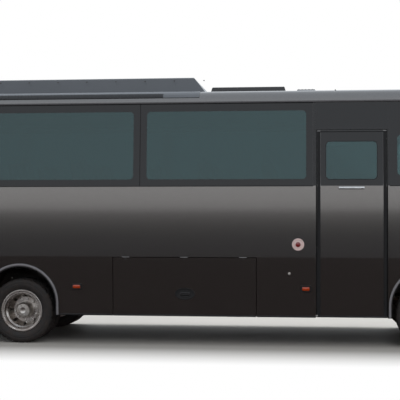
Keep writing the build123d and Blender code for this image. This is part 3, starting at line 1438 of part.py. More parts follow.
# Dashboard, under the windscreen and over the engine hump, and the steering wheel on its column
with BuildPart() as dash:
    with BuildSketch(Plane.XZ):
        with BuildLine():
            FilletPolyline(
                (DASH_X, HUMP_TOP_Z + SEAT_GAP), (DASH_X - DASH_LIP, HUMP_TOP_Z + DASH_H / 2),
                (DASH_X + DASH_LIP, HUMP_TOP_Z + DASH_H), (LENGTH / 2, HUMP_TOP_Z + DASH_H - DASH_LIP),
                (LENGTH / 2, HUMP_TOP_Z + SEAT_GAP), radius=SEAT_ROUND, close=True,
            )
        make_face()
    extrude(amount=inside - SEAT_GAP, both=True)
dash_room = join([nose_room, block((0, FRONT_JOINT_X + 1), (-inside, inside), (SKIRT_Z, CANTRAIL_Z))])
finish(overlap(dash.part, dash_room), "dashboard")
wheel_x, wheel_y, wheel_z = STEERING_WHEEL
column_tilt = Vector(math.cos(math.radians(COLUMN_TILT)), 0, -math.sin(math.radians(COLUMN_TILT)))
with BuildPart() as steering_wheel:
    with BuildSketch(Plane(origin=(wheel_x, wheel_y + STEERING_WHEEL_R, wheel_z),
                           z_dir=column_tilt.cross(Vector(0, 1, 0)))):
        Circle(STEERING_RIM_R)
    revolve(axis=Axis((wheel_x, wheel_y, wheel_z), column_tilt))
column_start = Vector(wheel_x, wheel_y, wheel_z)
spokes = [
    rod(
        column_start,
        column_start + Vector(0, STEERING_WHEEL_R, 0).rotate(Axis((0, 0, 0), column_tilt), turn),
        STEERING_RIM_R * 0.8,
    )
    for turn in (0, 180, 90)
]
column = rod(column_start - column_tilt * CLEAR / 3, column_start + column_tilt * COLUMN_L, COLUMN_R)
finish(
    join([steering_wheel.part, *spokes, column], [overlap(dash.part, dash_room)]), "steering_wheel"
)

# Mirrors on their arms, and the parked wipers
mirrors = []
for side in (RIGHT, LEFT):
    arm_from = (MIRROR_X - MIRROR_REACH, side * (HALF - 2 * CLEAR), MIRROR_Z + MIRROR_H / 2)
    arm_to = (MIRROR_X, side * MIRROR_Y, MIRROR_Z + MIRROR_H / 2 - CLEAR / 2)
    with BuildPart() as housing:
        with BuildSketch(Plane.YZ.offset(MIRROR_X - MIRROR_T / 2)):
            with Locations((side * MIRROR_Y, MIRROR_Z)):
                RectangleRounded(MIRROR_W, MIRROR_H, MIRROR_T / 2)
        extrude(amount=MIRROR_T, taper=MIRROR_TAPER)
    mirrors.append(join([housing.part, rod(arm_from, arm_to, MIRROR_ARM_R)], [nose]))
finish(join(mirrors), "mirrors")

glass_front = end_form(True, -WIPER_GAP)
wiper_room = join([end_form(True, -WIPER_GAP - WIPER_T)], [glass_front])
wipers = []
for pivot_y in WIPER_PIVOTS:
    with BuildPart() as sweep_shape:
        with BuildSketch(Plane.YZ.offset(FRONT_JOINT_X)):
            with Locations((pivot_y + WIPER_L / 2, WIPER_Z + WIPER_W)):
                Rectangle(WIPER_L, WIPER_W)
            with Locations((pivot_y, WIPER_Z)):
                Circle(WIPER_W)
            with BuildLine():
                Polyline(
                    (pivot_y, WIPER_Z - WIPER_W / 2), (pivot_y + WIPER_L / 2, WIPER_Z + WIPER_W),
                    (pivot_y + WIPER_L / 2, WIPER_Z + 1.4 * WIPER_W), (pivot_y, WIPER_Z + WIPER_W / 2),
                    close=True,
                )
            make_face()
        extrude(amount=LENGTH)
    with BuildPart() as pivot:
        with BuildSketch(Plane.YZ.offset(FRONT_JOINT_X)):
            with Locations((pivot_y, WIPER_Z)):
                Circle(WIPER_W / 2)
        extrude(amount=LENGTH)
    stem = overlap(join([end_form(True, -WIPER_GAP - WIPER_T)], [nose]), pivot.part)
    wipers.append(join([overlap(wiper_room, sweep_shape.part), stem]))
finish(join(wipers), "wipers")
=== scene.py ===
"""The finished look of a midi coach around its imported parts: paint, glass, tyres, seats, lamps and trim.

Metres. +X is forward, -Y is the passenger door side, +Z is up, and the ground is at zero.
"""

import math

import bmesh
import bpy
from mathutils import Matrix, Vector


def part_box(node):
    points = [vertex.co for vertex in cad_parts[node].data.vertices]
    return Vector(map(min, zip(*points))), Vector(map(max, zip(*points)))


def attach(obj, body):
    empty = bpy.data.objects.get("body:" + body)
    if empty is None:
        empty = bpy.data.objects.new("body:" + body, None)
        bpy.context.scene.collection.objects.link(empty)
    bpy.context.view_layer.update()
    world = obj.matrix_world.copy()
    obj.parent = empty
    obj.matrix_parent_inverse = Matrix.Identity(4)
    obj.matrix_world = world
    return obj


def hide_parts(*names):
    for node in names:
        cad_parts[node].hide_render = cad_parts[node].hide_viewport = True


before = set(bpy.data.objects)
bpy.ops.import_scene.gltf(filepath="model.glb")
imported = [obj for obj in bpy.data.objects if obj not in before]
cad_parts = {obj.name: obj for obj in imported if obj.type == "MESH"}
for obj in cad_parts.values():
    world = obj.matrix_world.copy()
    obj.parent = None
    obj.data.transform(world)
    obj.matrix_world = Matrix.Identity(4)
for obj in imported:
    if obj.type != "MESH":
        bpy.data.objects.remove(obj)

bl_info = {
    "name": "Midi coach finish",
    "version": (1, 0, 0),
    "blender": (4, 5, 0),
    "location": "View3D > Sidebar > Coach",
    "description": "Dresses a packed midi coach with paint, glass, tyres, seats, lamps and trim",
    "category": "Object",
}

RIGHT, LEFT = -1, 1

# Places on the coach, from its drawing: half of its width, heights and axles
HALF = 1.175
SKIRT_Z, CREASE_Z, SILL_Z, CANTRAIL_Z = 0.345, 1.040, 1.867, 2.838
SKIRT_TUCK, TUMBLEHOME = 0.028, 0.068
FRONT_AXLE, REAR_AXLE, AXLE_Z = 3.020, -1.780, 0.3835
WHEEL_PLANE, TWIN_SPACING = 0.985, 0.245
RIM_R, TYRE_R, BEAD_R = 0.245, 0.3835, 0.222
ROOF_Z = 3.040
ARCH_Z, ARCH_BEAD_R = 0.482, 0.4560
# The clear part of each window: span along X, then Z; WINDSCREEN and REAR_WINDOW are half width, then Z
SIDE_LIGHTS = ((-3.72, -2.43), (-2.27, -0.415), (-0.255, 1.61), (2.65, 3.39))
LEFT_LIGHT = (1.770, 2.520)
SIDE_LIGHT_Z = (1.947, 2.745)
QUARTER_LIGHT_Z = (1.985, 2.450)
DOOR_LIGHT = (1.840, 2.418, 1.945, 2.377)
DRIVER_LIGHT = (2.710, 3.355, 1.905, 2.475)
WINDSCREEN = (0.980, 1.460, 2.630)
REAR_WINDOW = (0.840, 1.820, 2.500)
# Door leaf, luggage hatch and door bar as spans along X and Z, the rest as middle X and Z and half sizes or
# radius
DOOR_LEAF = (1.736, 2.529, 0.359, 2.501)
HATCH = (-0.6555, 1.0345, 0.345, 1.0345)
BAR = (1.985, 2.275, 1.828, 1.856)
HANDLE = (0.199, 0.608, 0.114, 0.065)
RELEASE = (1.517, 1.190, 0.070)
KEY_SWITCH = (1.415, 0.852, 0.016)
MARKERS = ((-1.090, 0.685), (1.606, 0.678))
UNIT_TOP, HATCH_TOP = 3.195, 3.092

# Where the camera stands and how it looks, fitted to the coach's own seams, wheel, lamps and door
CAMERA_AT = (1.748, -13.477, 1.595)
CAMERA_YAW, CAMERA_PITCH, CAMERA_FOCAL = -6.354, 0.509, 1061.4


def linear(hex_colour):
    """Linear red, green, blue and alpha of an sRGB hex colour."""
    parts = [int(hex_colour[i:i + 2], 16) / 255 for i in (0, 2, 4)]
    return [c / 12.92 if c <= 0.04045 else ((c + 0.055) / 1.055) ** 2.4 for c in parts] + [1.0]


def colour_property(name, description, hex_colour):
    """A colour that a user would change, with its default."""
    return bpy.props.FloatVectorProperty(
        name=name, description=description, subtype="COLOR", size=3, min=0, max=1,
        default=linear(hex_colour)[:3],
    )


def length_property(name, description, default):
    """A length in metres that a user would change, with its default."""
    return bpy.props.FloatProperty(name=name, description=description, unit="LENGTH", min=0, default=default)


class CoachColours(bpy.types.PropertyGroup):
    """Colours of the coach's finishes."""

    paint: colour_property("Body paint", "Base coat of the body sides, roof, nose and tail", "757372")
    dust: colour_property("Road dust", "Film of dust low on the body and on the running gear", "564841")
    glass: colour_property("Privacy film", "Film on the side and door glass", "3f676b")
    screen: colour_property("Screen tint", "Body tint of the windscreen and rear window", "b6c6c2")
    fabric: colour_property("Seat fabric", "Ground colour of the seat covers", "3a4660")
    marker: colour_property("Marker lamp", "Lens of the side marker lamps", "b43c08")
    floor: colour_property("Studio floor", "Floor that the coach stands on", "b8b6b2")


class CoachSizes(bpy.types.PropertyGroup):
    """Sizes of the fittings that the drawing leaves to the finish."""

    seal: length_property("Door seal width", "Rubber round the passenger door leaf", 0.038)
    tread: length_property("Tread depth", "Depth of the tyre grooves", 0.011)
    piping: length_property("Seat piping", "Diameter of the piping on the seats", 0.009)
    plate_w: length_property("Plate width", "Width of the blank number plates", 0.520)
    plate_h: length_property("Plate height", "Height of the blank number plates", 0.112)


# Node and material tools


def node(tree, kind, values=None, links=None, stops=None, **settings):
    """Adds one node with its settings, its sockets' values, a ramp's stops and what feeds its sockets."""
    made = tree.nodes.new(kind)
    for name, value in settings.items():
        setattr(made, name, value)
    if stops:
        ramp = made.color_ramp.elements
        while len(ramp) < len(stops):
            ramp.new(0.5)
        for element, (position, colour) in zip(ramp, stops):
            element.position = position
            element.color = linear(colour) if isinstance(colour, str) else [colour] * 3 + [1.0]
    for socket, value in (values or {}).items():
        made.inputs[socket].default_value = value
    for socket, source in (links or {}).items():
        tree.links.new(source, made.inputs[socket])
    return made


def material(name, **values):
    """A new material with a Principled shader and its constant sockets set."""
    made = bpy.data.materials.new(name)
    made.use_nodes = True
    shader = made.node_tree.nodes["Principled BSDF"]
    for socket, value in values.items():
        shader.inputs[socket.replace("_", " ")].default_value = value
    return made, made.node_tree, shader


def place(tree):
    """The point on the object in its own metres."""
    return node(tree, "ShaderNodeTexCoord").outputs["Object"]


def grain(tree, point, size, detail=4.0, rough=0.55, stretch=(1, 1, 1)):
    """Noise whose blobs are about size metres across, stretched along an axis."""
    scaled = node(
        tree, "ShaderNodeVectorMath", {1: stretch}, {0: point}, operation="MULTIPLY"
    ).outputs["Vector"]
    return node(
        tree, "ShaderNodeTexNoise", {"Scale": 1 / size, "Detail": detail, "Roughness": rough},
        {"Vector": scaled},
    ).outputs["Fac"]


def spread(tree, source, low, high, out_low=0.0, out_high=1.0):
    """Maps low to high onto another span, held at its ends."""
    return node(
        tree, "ShaderNodeMapRange",
        {"From Min": low, "From Max": high, "To Min": out_low, "To Max": out_high}, {"Value": source},
    ).outputs["Result"]


def maths(tree, operation, first, second=0.0, third=0.0):
    """One sum on sockets or numbers."""
    values, links = {}, {}
    for i, term in enumerate((first, second, third)):
        if hasattr(term, "is_linked"):
            links[i] = term
        else:
            values[i] = term
    return node(tree, "ShaderNodeMath", values, links, operation=operation).outputs["Value"]


def blend(tree, factor, first, second):
    """Mixes two colours, each a socket or a hex colour."""
    values, links = {}, {"Factor": factor}
    for socket, term in ((6, first), (7, second)):
        if isinstance(term, str):
            values[socket] = linear(term)
        elif hasattr(term, "is_linked"):
            links[socket] = term
        else:
            values[socket] = term
    return node(tree, "ShaderNodeMix", values, links, data_type="RGBA").outputs[2]


def bump(tree, shader, height, depth, strength=1.0):
    """Raises the surface by depth metres times height."""
    made = node(tree, "ShaderNodeBump", {"Strength": strength, "Distance": depth}, {"Height": height})
    previous = shader.inputs["Normal"].links
    if previous:
        tree.links.new(previous[0].from_socket, made.inputs["Normal"])
    tree.links.new(made.outputs["Normal"], shader.inputs["Normal"])


def feed(tree, shader, **sources):
    """Links sockets of the shader by name."""
    for socket, source in sources.items():
        tree.links.new(source, shader.inputs[socket.replace("_", " ")])


def road_dust(tree, point, high_z):
    """How much road dust lies on a surface: more near the ground and in drifts."""
    z = node(tree, "ShaderNodeSeparateXYZ", links={"Vector": point}).outputs["Z"]
    low = spread(tree, z, 0.30, high_z, 1.0, 0.0)
    drift = grain(tree, point, 0.35, 5.0, 0.6)
    return maths(tree, "MULTIPLY", low, spread(tree, drift, 0.3, 0.75, 0.25, 1.0))


# Finishes


def metallic_clearcoat(colours):
    """Aluminium flake base coat under clear coat: mirror-like sky, deep dark below, faint orange peel."""
    made, tree, shader = material(
        "metallic_clearcoat", Metallic=0.90, Coat_Weight=1.0, Coat_Roughness=0.03, Coat_IOR=1.5
    )
    point = place(tree)
    flake = node(tree, "ShaderNodeTexVoronoi", {"Scale": 1 / 0.004}, {"Vector": point}).outputs["Color"]
    flake_value = node(tree, "ShaderNodeSeparateXYZ", links={"Vector": flake}).outputs["X"]
    base = tuple(colours.paint)
    dark = [c * 0.88 for c in base] + [1.0]
    light = [min(c * 1.14, 1) for c in base] + [1.0]
    dust = road_dust(tree, point, 0.95)
    soil = maths(tree, "MULTIPLY", dust, 0.12)
    flaked = blend(tree, flake_value, dark, light)
    feed(
        tree, shader,
        Base_Color=blend(tree, soil, flaked, [*colours.dust, 1.0]),
        Roughness=spread(tree, dust, 0.0, 1.0, 0.08, 0.18),
    )
    bump(tree, shader, grain(tree, point, 0.009, 2.0), 0.00004, 0.35)
    return made


def satin_moulding(colours):
    """Moulded polypropylene trim: satin, slightly grained, dusty low down."""
    made, tree, shader = material("satin_polypropylene", IOR=1.49)
    point = place(tree)
    shade = blend(tree, grain(tree, point, 0.02), "3a393d", "4a494c")
    feed(
        tree, shader,
        Base_Color=blend(
            tree, maths(tree, "MULTIPLY", road_dust(tree, point, 1.1), 0.5), shade, [*colours.dust, 1.0]
        ),
        Roughness=spread(tree, grain(tree, point, 0.05), 0.3, 0.7, 0.24, 0.36),
    )
    bump(tree, shader, grain(tree, point, 0.0025, 2.0), 0.00015, 0.5)
    return made


def black_abs(name, low="0b0b0c", high="17171a", rough=(0.32, 0.48), cell=0.003):
    """Moulded black ABS: fine leather-like grain and a soft sheen."""
    made, tree, shader = material(name, IOR=1.53)
    point = place(tree)
    feed(
        tree, shader,
        Base_Color=blend(tree, grain(tree, point, 0.03), low, high),
        Roughness=spread(tree, grain(tree, point, 0.06), 0.3, 0.7, *rough),
    )
    cells = node(
        tree, "ShaderNodeTexVoronoi", {"Scale": 1 / cell}, {"Vector": point}, feature="DISTANCE_TO_EDGE"
    ).outputs["Distance"]
    bump(tree, shader, cells, 0.0003, 0.6)
    return made


def rubber(name="epdm_rubber"):
    """Extruded EPDM seal: matt black with a grey bloom."""
    made, tree, shader = material(name, IOR=1.5)
    point = place(tree)
    bloom = spread(tree, grain(tree, point, 0.04, 5.0), 0.35, 0.8)
    feed(
        tree, shader,
        Base_Color=blend(tree, bloom, "08080a", "1c1c1e"),
        Roughness=spread(tree, bloom, 0.0, 1.0, 0.55, 0.8),
    )
    bump(tree, shader, grain(tree, point, 0.003), 0.0002, 0.4)
    return made


def tyre_rubber(colours):
    """Carbon-black tread and sidewall rubber: matt, browned by dust in the grooves and on the shoulder."""
    made, tree, shader = material("vulcanised_rubber", IOR=1.5)
    point = place(tree)
    drift = spread(tree, grain(tree, point, 0.05, 6.0, 0.65), 0.35, 0.8)
    scuff = grain(tree, point, 0.008, 3.0, 0.6)
    black = blend(tree, scuff, "101011", "222223")
    feed(
        tree, shader,
        Base_Color=blend(tree, maths(tree, "MULTIPLY", drift, 0.38), black, [*colours.dust, 1.0]),
        Roughness=spread(tree, drift, 0.0, 1.0, 0.62, 0.86),
    )
    bump(tree, shader, scuff, 0.0004, 0.5)
    return made


def spun_metal(name, clean, soiled, rough):
    """Machine-polished wheel metal: bright, with a breath of haze and brown brake dust in soft drifts."""
    made, tree, shader = material(name, Metallic=1.0)
    point = place(tree)
    soil = spread(tree, grain(tree, point, 0.12, 3.0, 0.5), 0.40, 0.75)
    feed(
        tree, shader,
        Base_Color=blend(tree, soil, clean, soiled),
        Roughness=spread(tree, soil, 0.0, 1.0, *rough),
    )
    bump(tree, shader, grain(tree, point, 0.05, 1.0), 0.0002, 0.3)
    return made


FRIT = "0a0a0d"


def tinted_glass(name, tint, through, lights, axis="X"):
    """Toughened tinted glass with a fired black ceramic border: glossy, and clear only inside the border.

    Each light is a clear window: low and high along axis, low and high Z, a corner radius, and the side or end of the
    coach that it is on, or 0 for both. The share called through passes it, and the film scatters the rest.
    """
    made, tree, shader = material(name, IOR=1.52, Coat_Weight=0.0)
    point = place(tree)
    parts = node(tree, "ShaderNodeSeparateXYZ", links={"Vector": point})
    along, up = parts.outputs[axis], parts.outputs["Z"]
    across = parts.outputs["Y" if axis == "X" else "X"]
    clear = None
    for low, high, z_low, z_high, radius, end_sign in lights:
        reach = []
        for source, start, end in ((along, low, high), (up, z_low, z_high)):
            off = maths(tree, "ABSOLUTE", maths(tree, "SUBTRACT", source, (start + end) / 2))
            past = maths(tree, "SUBTRACT", off, (end - start) / 2 - radius)
            reach.append(maths(tree, "MAXIMUM", past, 0.0))
        corner = maths(
            tree, "SQRT", maths(
                tree, "ADD",
                maths(tree, "MULTIPLY", reach[0], reach[0]), maths(tree, "MULTIPLY", reach[1], reach[1]),
            )
        )
        window = maths(tree, "LESS_THAN", corner, radius)
        if end_sign:
            there = maths(tree, "GREATER_THAN", maths(tree, "MULTIPLY", across, end_sign), 0.0)
            window = maths(tree, "MULTIPLY", window, there)
        clear = window if clear is None else maths(tree, "MAXIMUM", clear, window)
    film = spread(tree, grain(tree, point, 0.25, 3.0), 0.3, 0.8, 0.0, 0.05)
    feed(
        tree, shader,
        Base_Color=blend(tree, clear, FRIT, [*tint, 1.0]),
        Transmission_Weight=maths(tree, "MULTIPLY", clear, through),
        Roughness=film,
    )
    return made


RIB_PITCH = 0.012
WAVE_BANDS = math.pi


def moulded_lens(name, colour, clear=0.0):
    """Moulded acrylic lens of a hex or linear colour: glossy, with a ribbed optic behind the face."""
    made, tree, shader = material(
        name, IOR=1.49, Coat_Weight=1.0, Coat_Roughness=0.03, Transmission_Weight=clear
    )
    point = place(tree)
    ribs = node(
        tree, "ShaderNodeTexWave", {"Scale": 1 / RIB_PITCH / WAVE_BANDS, "Distortion": 0.0},
        {"Vector": point},
        bands_direction="X",
    ).outputs["Fac"]
    base = linear(colour) if isinstance(colour, str) else [*colour, 1.0]
    dark = [c * 0.62 for c in base[:3]] + [1.0]
    feed(
        tree, shader,
        Base_Color=blend(tree, ribs, dark, base),
        Roughness=spread(tree, grain(tree, point, 0.02), 0.3, 0.7, 0.08, 0.2),
    )
    bump(tree, shader, ribs, 0.0006, 0.4)
    return made


def road_black(name, colours, low="0c0c0c", high="1d1c1b", dusty=0.5):
    """Chassis black enamel over steel: chipped, and greyed by road dust."""
    made, tree, shader = material(name, IOR=1.5)
    point = place(tree)
    chips = spread(tree, grain(tree, point, 0.02, 8.0, 0.7), 0.62, 0.70)
    black = blend(tree, grain(tree, point, 0.15, 4.0), low, high)
    chipped = blend(tree, chips, black, "3a2a20")
    dust = spread(tree, grain(tree, point, 0.3, 5.0), 0.3, 0.8, 0.0, dusty)
    feed(
        tree, shader,
        Base_Color=blend(tree, dust, chipped, [*colours.dust, 1.0]),
        Roughness=spread(tree, dust, 0.0, 0.5, 0.42, 0.8),
    )
    bump(tree, shader, grain(tree, point, 0.006), 0.0006, 0.5)
    return made


def bare_steel(name, low="8c8c8a", high="b8b8b6", rough=(0.28, 0.42), stretch=(1, 1, 10)):
    """Drawn or rolled steel: a brushed grain along its length and faint stains."""
    made, tree, shader = material(name, Metallic=1.0)
    point = place(tree)
    feed(
        tree, shader,
        Base_Color=blend(tree, grain(tree, point, 0.05, 5.0), low, high),
        Roughness=spread(tree, grain(tree, point, 0.01, 3.0, 0.5, stretch), 0.3, 0.7, *rough),
    )
    bump(tree, shader, grain(tree, point, 0.002, 2.0, 0.5, stretch), 0.00008, 0.5)
    return made


def cast_iron(colours):
    """Sand-cast iron: coarse skin, rust bloom and dried road dust."""
    made, tree, shader = material("sand_cast_iron", Metallic=0.35)
    point = place(tree)
    rust = spread(tree, grain(tree, point, 0.06, 8.0, 0.7), 0.52, 0.72)
    skin = blend(tree, rust, "2a2826", "4a2f20")
    feed(
        tree, shader,
        Base_Color=blend(
            tree, spread(tree, grain(tree, point, 0.2), 0.4, 0.8, 0.0, 0.4), skin, [*colours.dust, 1.0]
        ),
        Roughness=spread(tree, rust, 0.0, 1.0, 0.55, 0.85),
    )
    bump(tree, shader, grain(tree, point, 0.004, 4.0), 0.0012, 0.6)
    return made


def gelcoat(name, low, high):
    """Glass-fibre moulding in gelcoat: even gloss, slightly wavy, grey with weather."""
    made, tree, shader = material(name, IOR=1.5, Coat_Weight=0.3, Coat_Roughness=0.2)
    point = place(tree)
    weather = grain(tree, point, 0.4, 6.0, 0.6, (0.5, 1, 1))
    feed(
        tree, shader,
        Base_Color=blend(tree, weather, low, high),
        Roughness=spread(tree, weather, 0.3, 0.7, 0.28, 0.5),
    )
    bump(tree, shader, grain(tree, point, 0.12, 2.0), 0.0008, 0.3)
    return made


def moquette(colours):
    """Woven moquette: cut pile in 3 mm cells, a small scattered figure, soft sheen at the edges."""
    made, tree, shader = material("woven_moquette", IOR=1.45, Sheen_Weight=0.5, Sheen_Roughness=0.4)
    point = place(tree)
    weave = node(
        tree, "ShaderNodeTexVoronoi", {"Scale": 1 / 0.004, "Randomness": 0.35}, {"Vector": point}
    ).outputs["Distance"]
    figure = node(
        tree, "ShaderNodeTexVoronoi", {"Scale": 1 / 0.05}, {"Vector": point}, feature="F1"
    )
    spot = spread(tree, figure.outputs["Distance"], 0.16, 0.24, 1.0, 0.0)
    ground = [*colours.fabric, 1.0]
    pile = blend(tree, weave, [c * 1.25 for c in ground[:3]] + [1.0], [c * 0.6 for c in ground[:3]] + [1.0])
    feed(
        tree, shader,
        Base_Color=blend(tree, maths(tree, "MULTIPLY", spot, 0.55), pile, "a8894e"),
        Roughness=spread(tree, weave, 0.0, 0.6, 0.78, 0.95),
    )
    bump(tree, shader, weave, 0.0012, 0.7)
    return made


def vinyl(name, low, high, cell=0.004, rough=(0.45, 0.6)):
    """Grained vinyl or floor covering: flecked, with a wear sheen."""
    made, tree, shader = material(name, IOR=1.5)
    point = place(tree)
    fleck = node(tree, "ShaderNodeTexVoronoi", {"Scale": 1 / cell}, {"Vector": point})
    tone = node(tree, "ShaderNodeSeparateXYZ", links={"Vector": fleck.outputs["Color"]}).outputs["X"]
    feed(
        tree, shader,
        Base_Color=blend(tree, tone, low, high),
        Roughness=spread(tree, grain(tree, point, 0.3), 0.3, 0.7, *rough),
    )
    bump(tree, shader, fleck.outputs["Distance"], 0.0004, 0.5)
    return made


def chrome(name="chromed_steel", base="d8d8d8", rough=0.06):
    """Bright plated steel: near-mirror, with a breath of haze."""
    made, tree, shader = material(name, Metallic=1.0)
    point = place(tree)
    haze = grain(tree, point, 0.03, 4.0)
    feed(
        tree, shader,
        Base_Color=blend(tree, haze, base, "f0f0ee"),
        Roughness=spread(tree, haze, 0.3, 0.8, rough, rough + 0.12),
    )
    return made


# Share of light that filmed and plainly tinted glass pass, and the corner radius of their clear part
FILM_PASSES, TINT_PASSES = 0.6, 0.96
LIGHT_CORNER = 0.045
FINISHES = {}


def make_finishes(colours):
    """Makes every finish of the coach, kept by a short name."""
    side = [(*along, *SIDE_LIGHT_Z, LIGHT_CORNER, 0) for along in SIDE_LIGHTS[:3]]
    side.append((*SIDE_LIGHTS[3], *QUARTER_LIGHT_Z, LIGHT_CORNER, RIGHT))
    side.append((*LEFT_LIGHT, *SIDE_LIGHT_Z, LIGHT_CORNER, LEFT))
    door, driver = [(*DOOR_LIGHT, LIGHT_CORNER, 0)], [(*DRIVER_LIGHT, LIGHT_CORNER, 0)]
    ends = [
        (-half, half, low, high, radius, end)
        for (half, low, high), radius, end in ((WINDSCREEN, 0.10, 1), (REAR_WINDOW, 0.08, -1))
    ]
    FINISHES.update(
        paint=metallic_clearcoat(colours),
        moulding=satin_moulding(colours),
        bead=gelcoat("satin_grey_bead", "6c6b70", "7c7b80"),
        black=black_abs("grained_black_abs"),
        satin_black=black_abs("satin_black_paint", "101012", "1a1a1d", (0.24, 0.34), 0.008),
        interior=black_abs("grained_interior_abs", "232326", "333338", (0.5, 0.65), 0.004),
        rubber=rubber(),
        tyre=tyre_rubber(colours),
        wheel=spun_metal("polished_forged_aluminium", "d8d4d0", "a0948c", (0.26, 0.38)),
        hub=spun_metal("machined_hub_steel", "dcdad6", "aca298", (0.30, 0.42)),
        side_glass=tinted_glass("toughened_side_glass", colours.glass, FILM_PASSES, side),
        door_glass=tinted_glass("toughened_door_glass", colours.glass, FILM_PASSES, door),
        driver_glass=tinted_glass("toughened_driver_glass", colours.screen, TINT_PASSES, driver),
        end_glass=tinted_glass("laminated_screen_glass", colours.screen, TINT_PASSES, ends, "Y"),
        amber=moulded_lens("moulded_amber_acrylic", colours.marker),
        red=moulded_lens("moulded_red_acrylic", "a80c0c"),
        clear=moulded_lens("moulded_clear_polycarbonate", "e8ecee", 0.9),
        clear_lens=moulded_lens("pressed_clear_glass", "f4f6f6", 0.7),
        button_white=moulded_lens("moulded_pale_abs", "e2c8c6"),
        button_red=moulded_lens("moulded_dark_red_abs", "7a1a1e"),
        plate=gelcoat("blank_plate_enamel", "d8d8d4", "e4e4e0"),
        frame=road_black("chassis_black_enamel", colours),
        under=road_black("underseal", colours, "070707", "101010", 0.25),
        tank=road_black("tank_black_enamel", colours, "141414", "26262a", 0.35),
        steel=bare_steel("drawn_steel"),
        exhaust=bare_steel("aluminised_exhaust_steel", "5c554c", "8a8378", (0.42, 0.6), (8, 1, 1)),
        iron=cast_iron(colours),
        roof_unit=gelcoat("weathered_gelcoat", "4c5157", "5c6168"),
        lid=gelcoat("dark_gelcoat", "1c1c1e", "2a2a2d"),
        fabric=moquette(colours),
        floor=vinyl("flecked_floor_vinyl", "4b4d52", "6a6c70"),
        lining=vinyl("grained_lining_vinyl", "8a8c8f", "9a9c9e", 0.003, (0.6, 0.75)),
        bay=vinyl("ribbed_bay_matting", "2e2e30", "404042", 0.006, (0.6, 0.8)),
        chrome=chrome(),
        bright=bare_steel("bright_anodised_aluminium", "cfd0d2", "eceded", (0.2, 0.3), (10, 1, 1)),
        mirror=chrome("silvered_mirror_glass", "e8ecec", 0.02),
    )


# Mesh tools


def half_width(z):
    """Half of the body's width on the outside at height z."""
    if z < CREASE_Z:
        return HALF - SKIRT_TUCK * (CREASE_Z - z) / (CREASE_Z - SKIRT_Z)
    return HALF - TUMBLEHOME * max(z - SILL_Z, 0) / (CANTRAIL_Z - SILL_Z)


def angles(count, start=0.0):
    """Even angles round a circle, turned on by a share of one step."""
    return [2 * math.pi * (k + start) / count for k in range(count)]


def piece(name, bm, body, finish, smooth=40.0):
    """Puts a finished form in the scene on its body, smooth up to an angle in degrees."""
    mesh = to_mesh(name, bm)
    made = bpy.data.objects.new(name, mesh)
    bpy.context.scene.collection.objects.link(made)
    finishes = finish if isinstance(finish, (list, tuple)) else [finish]
    for one in finishes:
        mesh.materials.append(FINISHES[one])
    mesh.shade_smooth()
    mesh.set_sharp_from_angle(angle=math.radians(smooth))
    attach(made, body)
    return made


def to_mesh(name, bm):
    """Turns a bmesh into a mesh, with its normals outwards."""
    bmesh.ops.recalc_face_normals(bm, faces=bm.faces)
    mesh = bpy.data.meshes.new(name)
    bm.to_mesh(mesh)
    bm.free()
    return mesh


def loft(bm, rings, closed_ring=True, closed_path=False, caps=True, index=0):
    """Skins rings of points in order, in the finish of that index."""
    size, count = len(rings[0]), len(rings)
    points = [p for ring in rings for p in ring]
    faces = []
    for i in range(count if closed_path else count - 1):
        a, b = i * size, ((i + 1) % count) * size
        for j in range(size if closed_ring else size - 1):
            k = (j + 1) % size
            faces.append((a + j, a + k, b + k, b + j))
    if caps and closed_ring and not closed_path:
        faces += [tuple(range(size)), tuple(range((count - 1) * size, count * size))]
    verts = [bm.verts.new(p) for p in points]
    for corners in faces:
        bm.faces.new([verts[i] for i in corners]).material_index = index


def tube(bm, points, radius, sides=10, closed=False, index=0):
    """A round bar along a path, thick by radius or by one radius for each point."""
    points = [Vector(p) for p in points]
    radii = radius if isinstance(radius, (list, tuple)) else [radius] * len(points)
    rings, count = [], len(points)
    normal = None
    for i, point in enumerate(points):
        before = points[i - 1] if i or closed else point
        after = points[(i + 1) % count] if i < count - 1 or closed else point
        way = (after - before).normalized()
        if normal is None:
            normal = way.orthogonal().normalized()
        normal = (normal - way * normal.dot(way)).normalized()
        other = way.cross(normal)
        rings.append([
            point + (normal * math.cos(a) + other * math.sin(a)) * radii[i]
            for a in angles(sides)
        ])
    loft(bm, rings, True, closed, True, index)


def rounded_box(bm, low, high, radius, segments=3, index=0, turn=None, centre=None):
    """A box with rounded edges, turned by a matrix about a centre if they are given."""
    middle = (Vector(low) + Vector(high)) / 2
    size = Vector(high) - Vector(low)
    made = bmesh.ops.create_cube(bm, size=1.0)
    verts = made["verts"]
    for v in verts:
        v.co = Vector((v.co.x * size.x, v.co.y * size.y, v.co.z * size.z))
    edges = {e for v in verts for e in v.link_edges}
    beveled = bmesh.ops.bevel(
        bm, geom=list(edges), offset=min(radius, min(size) * 0.49), segments=segments, profile=0.5,
        affect="EDGES", clamp_overlap=True,
    )
    group = {v for f in beveled["faces"] for v in f.verts} | {v for v in verts if v.is_valid}
    faces = {f for v in group for f in v.link_faces}
    pivot = Vector(centre) if centre else middle
    for v in {v for f in faces for v in f.verts}:
        v.co = v.co + middle
        if turn is not None:
            v.co = pivot + turn @ (v.co - pivot)
    for face in faces:
        face.material_index = index


def turned_form(bm, profile, x, z, steps=48, index=0, side=1, closed=True):
    """A form turned about the line through (x, z) along Y, from (radius, y) points."""
    rings = [
        [(x + r * math.cos(a), side * y, z + r * math.sin(a)) for r, y in profile] for a in angles(steps)
    ]
    loft(bm, rings, closed, True, False, index)


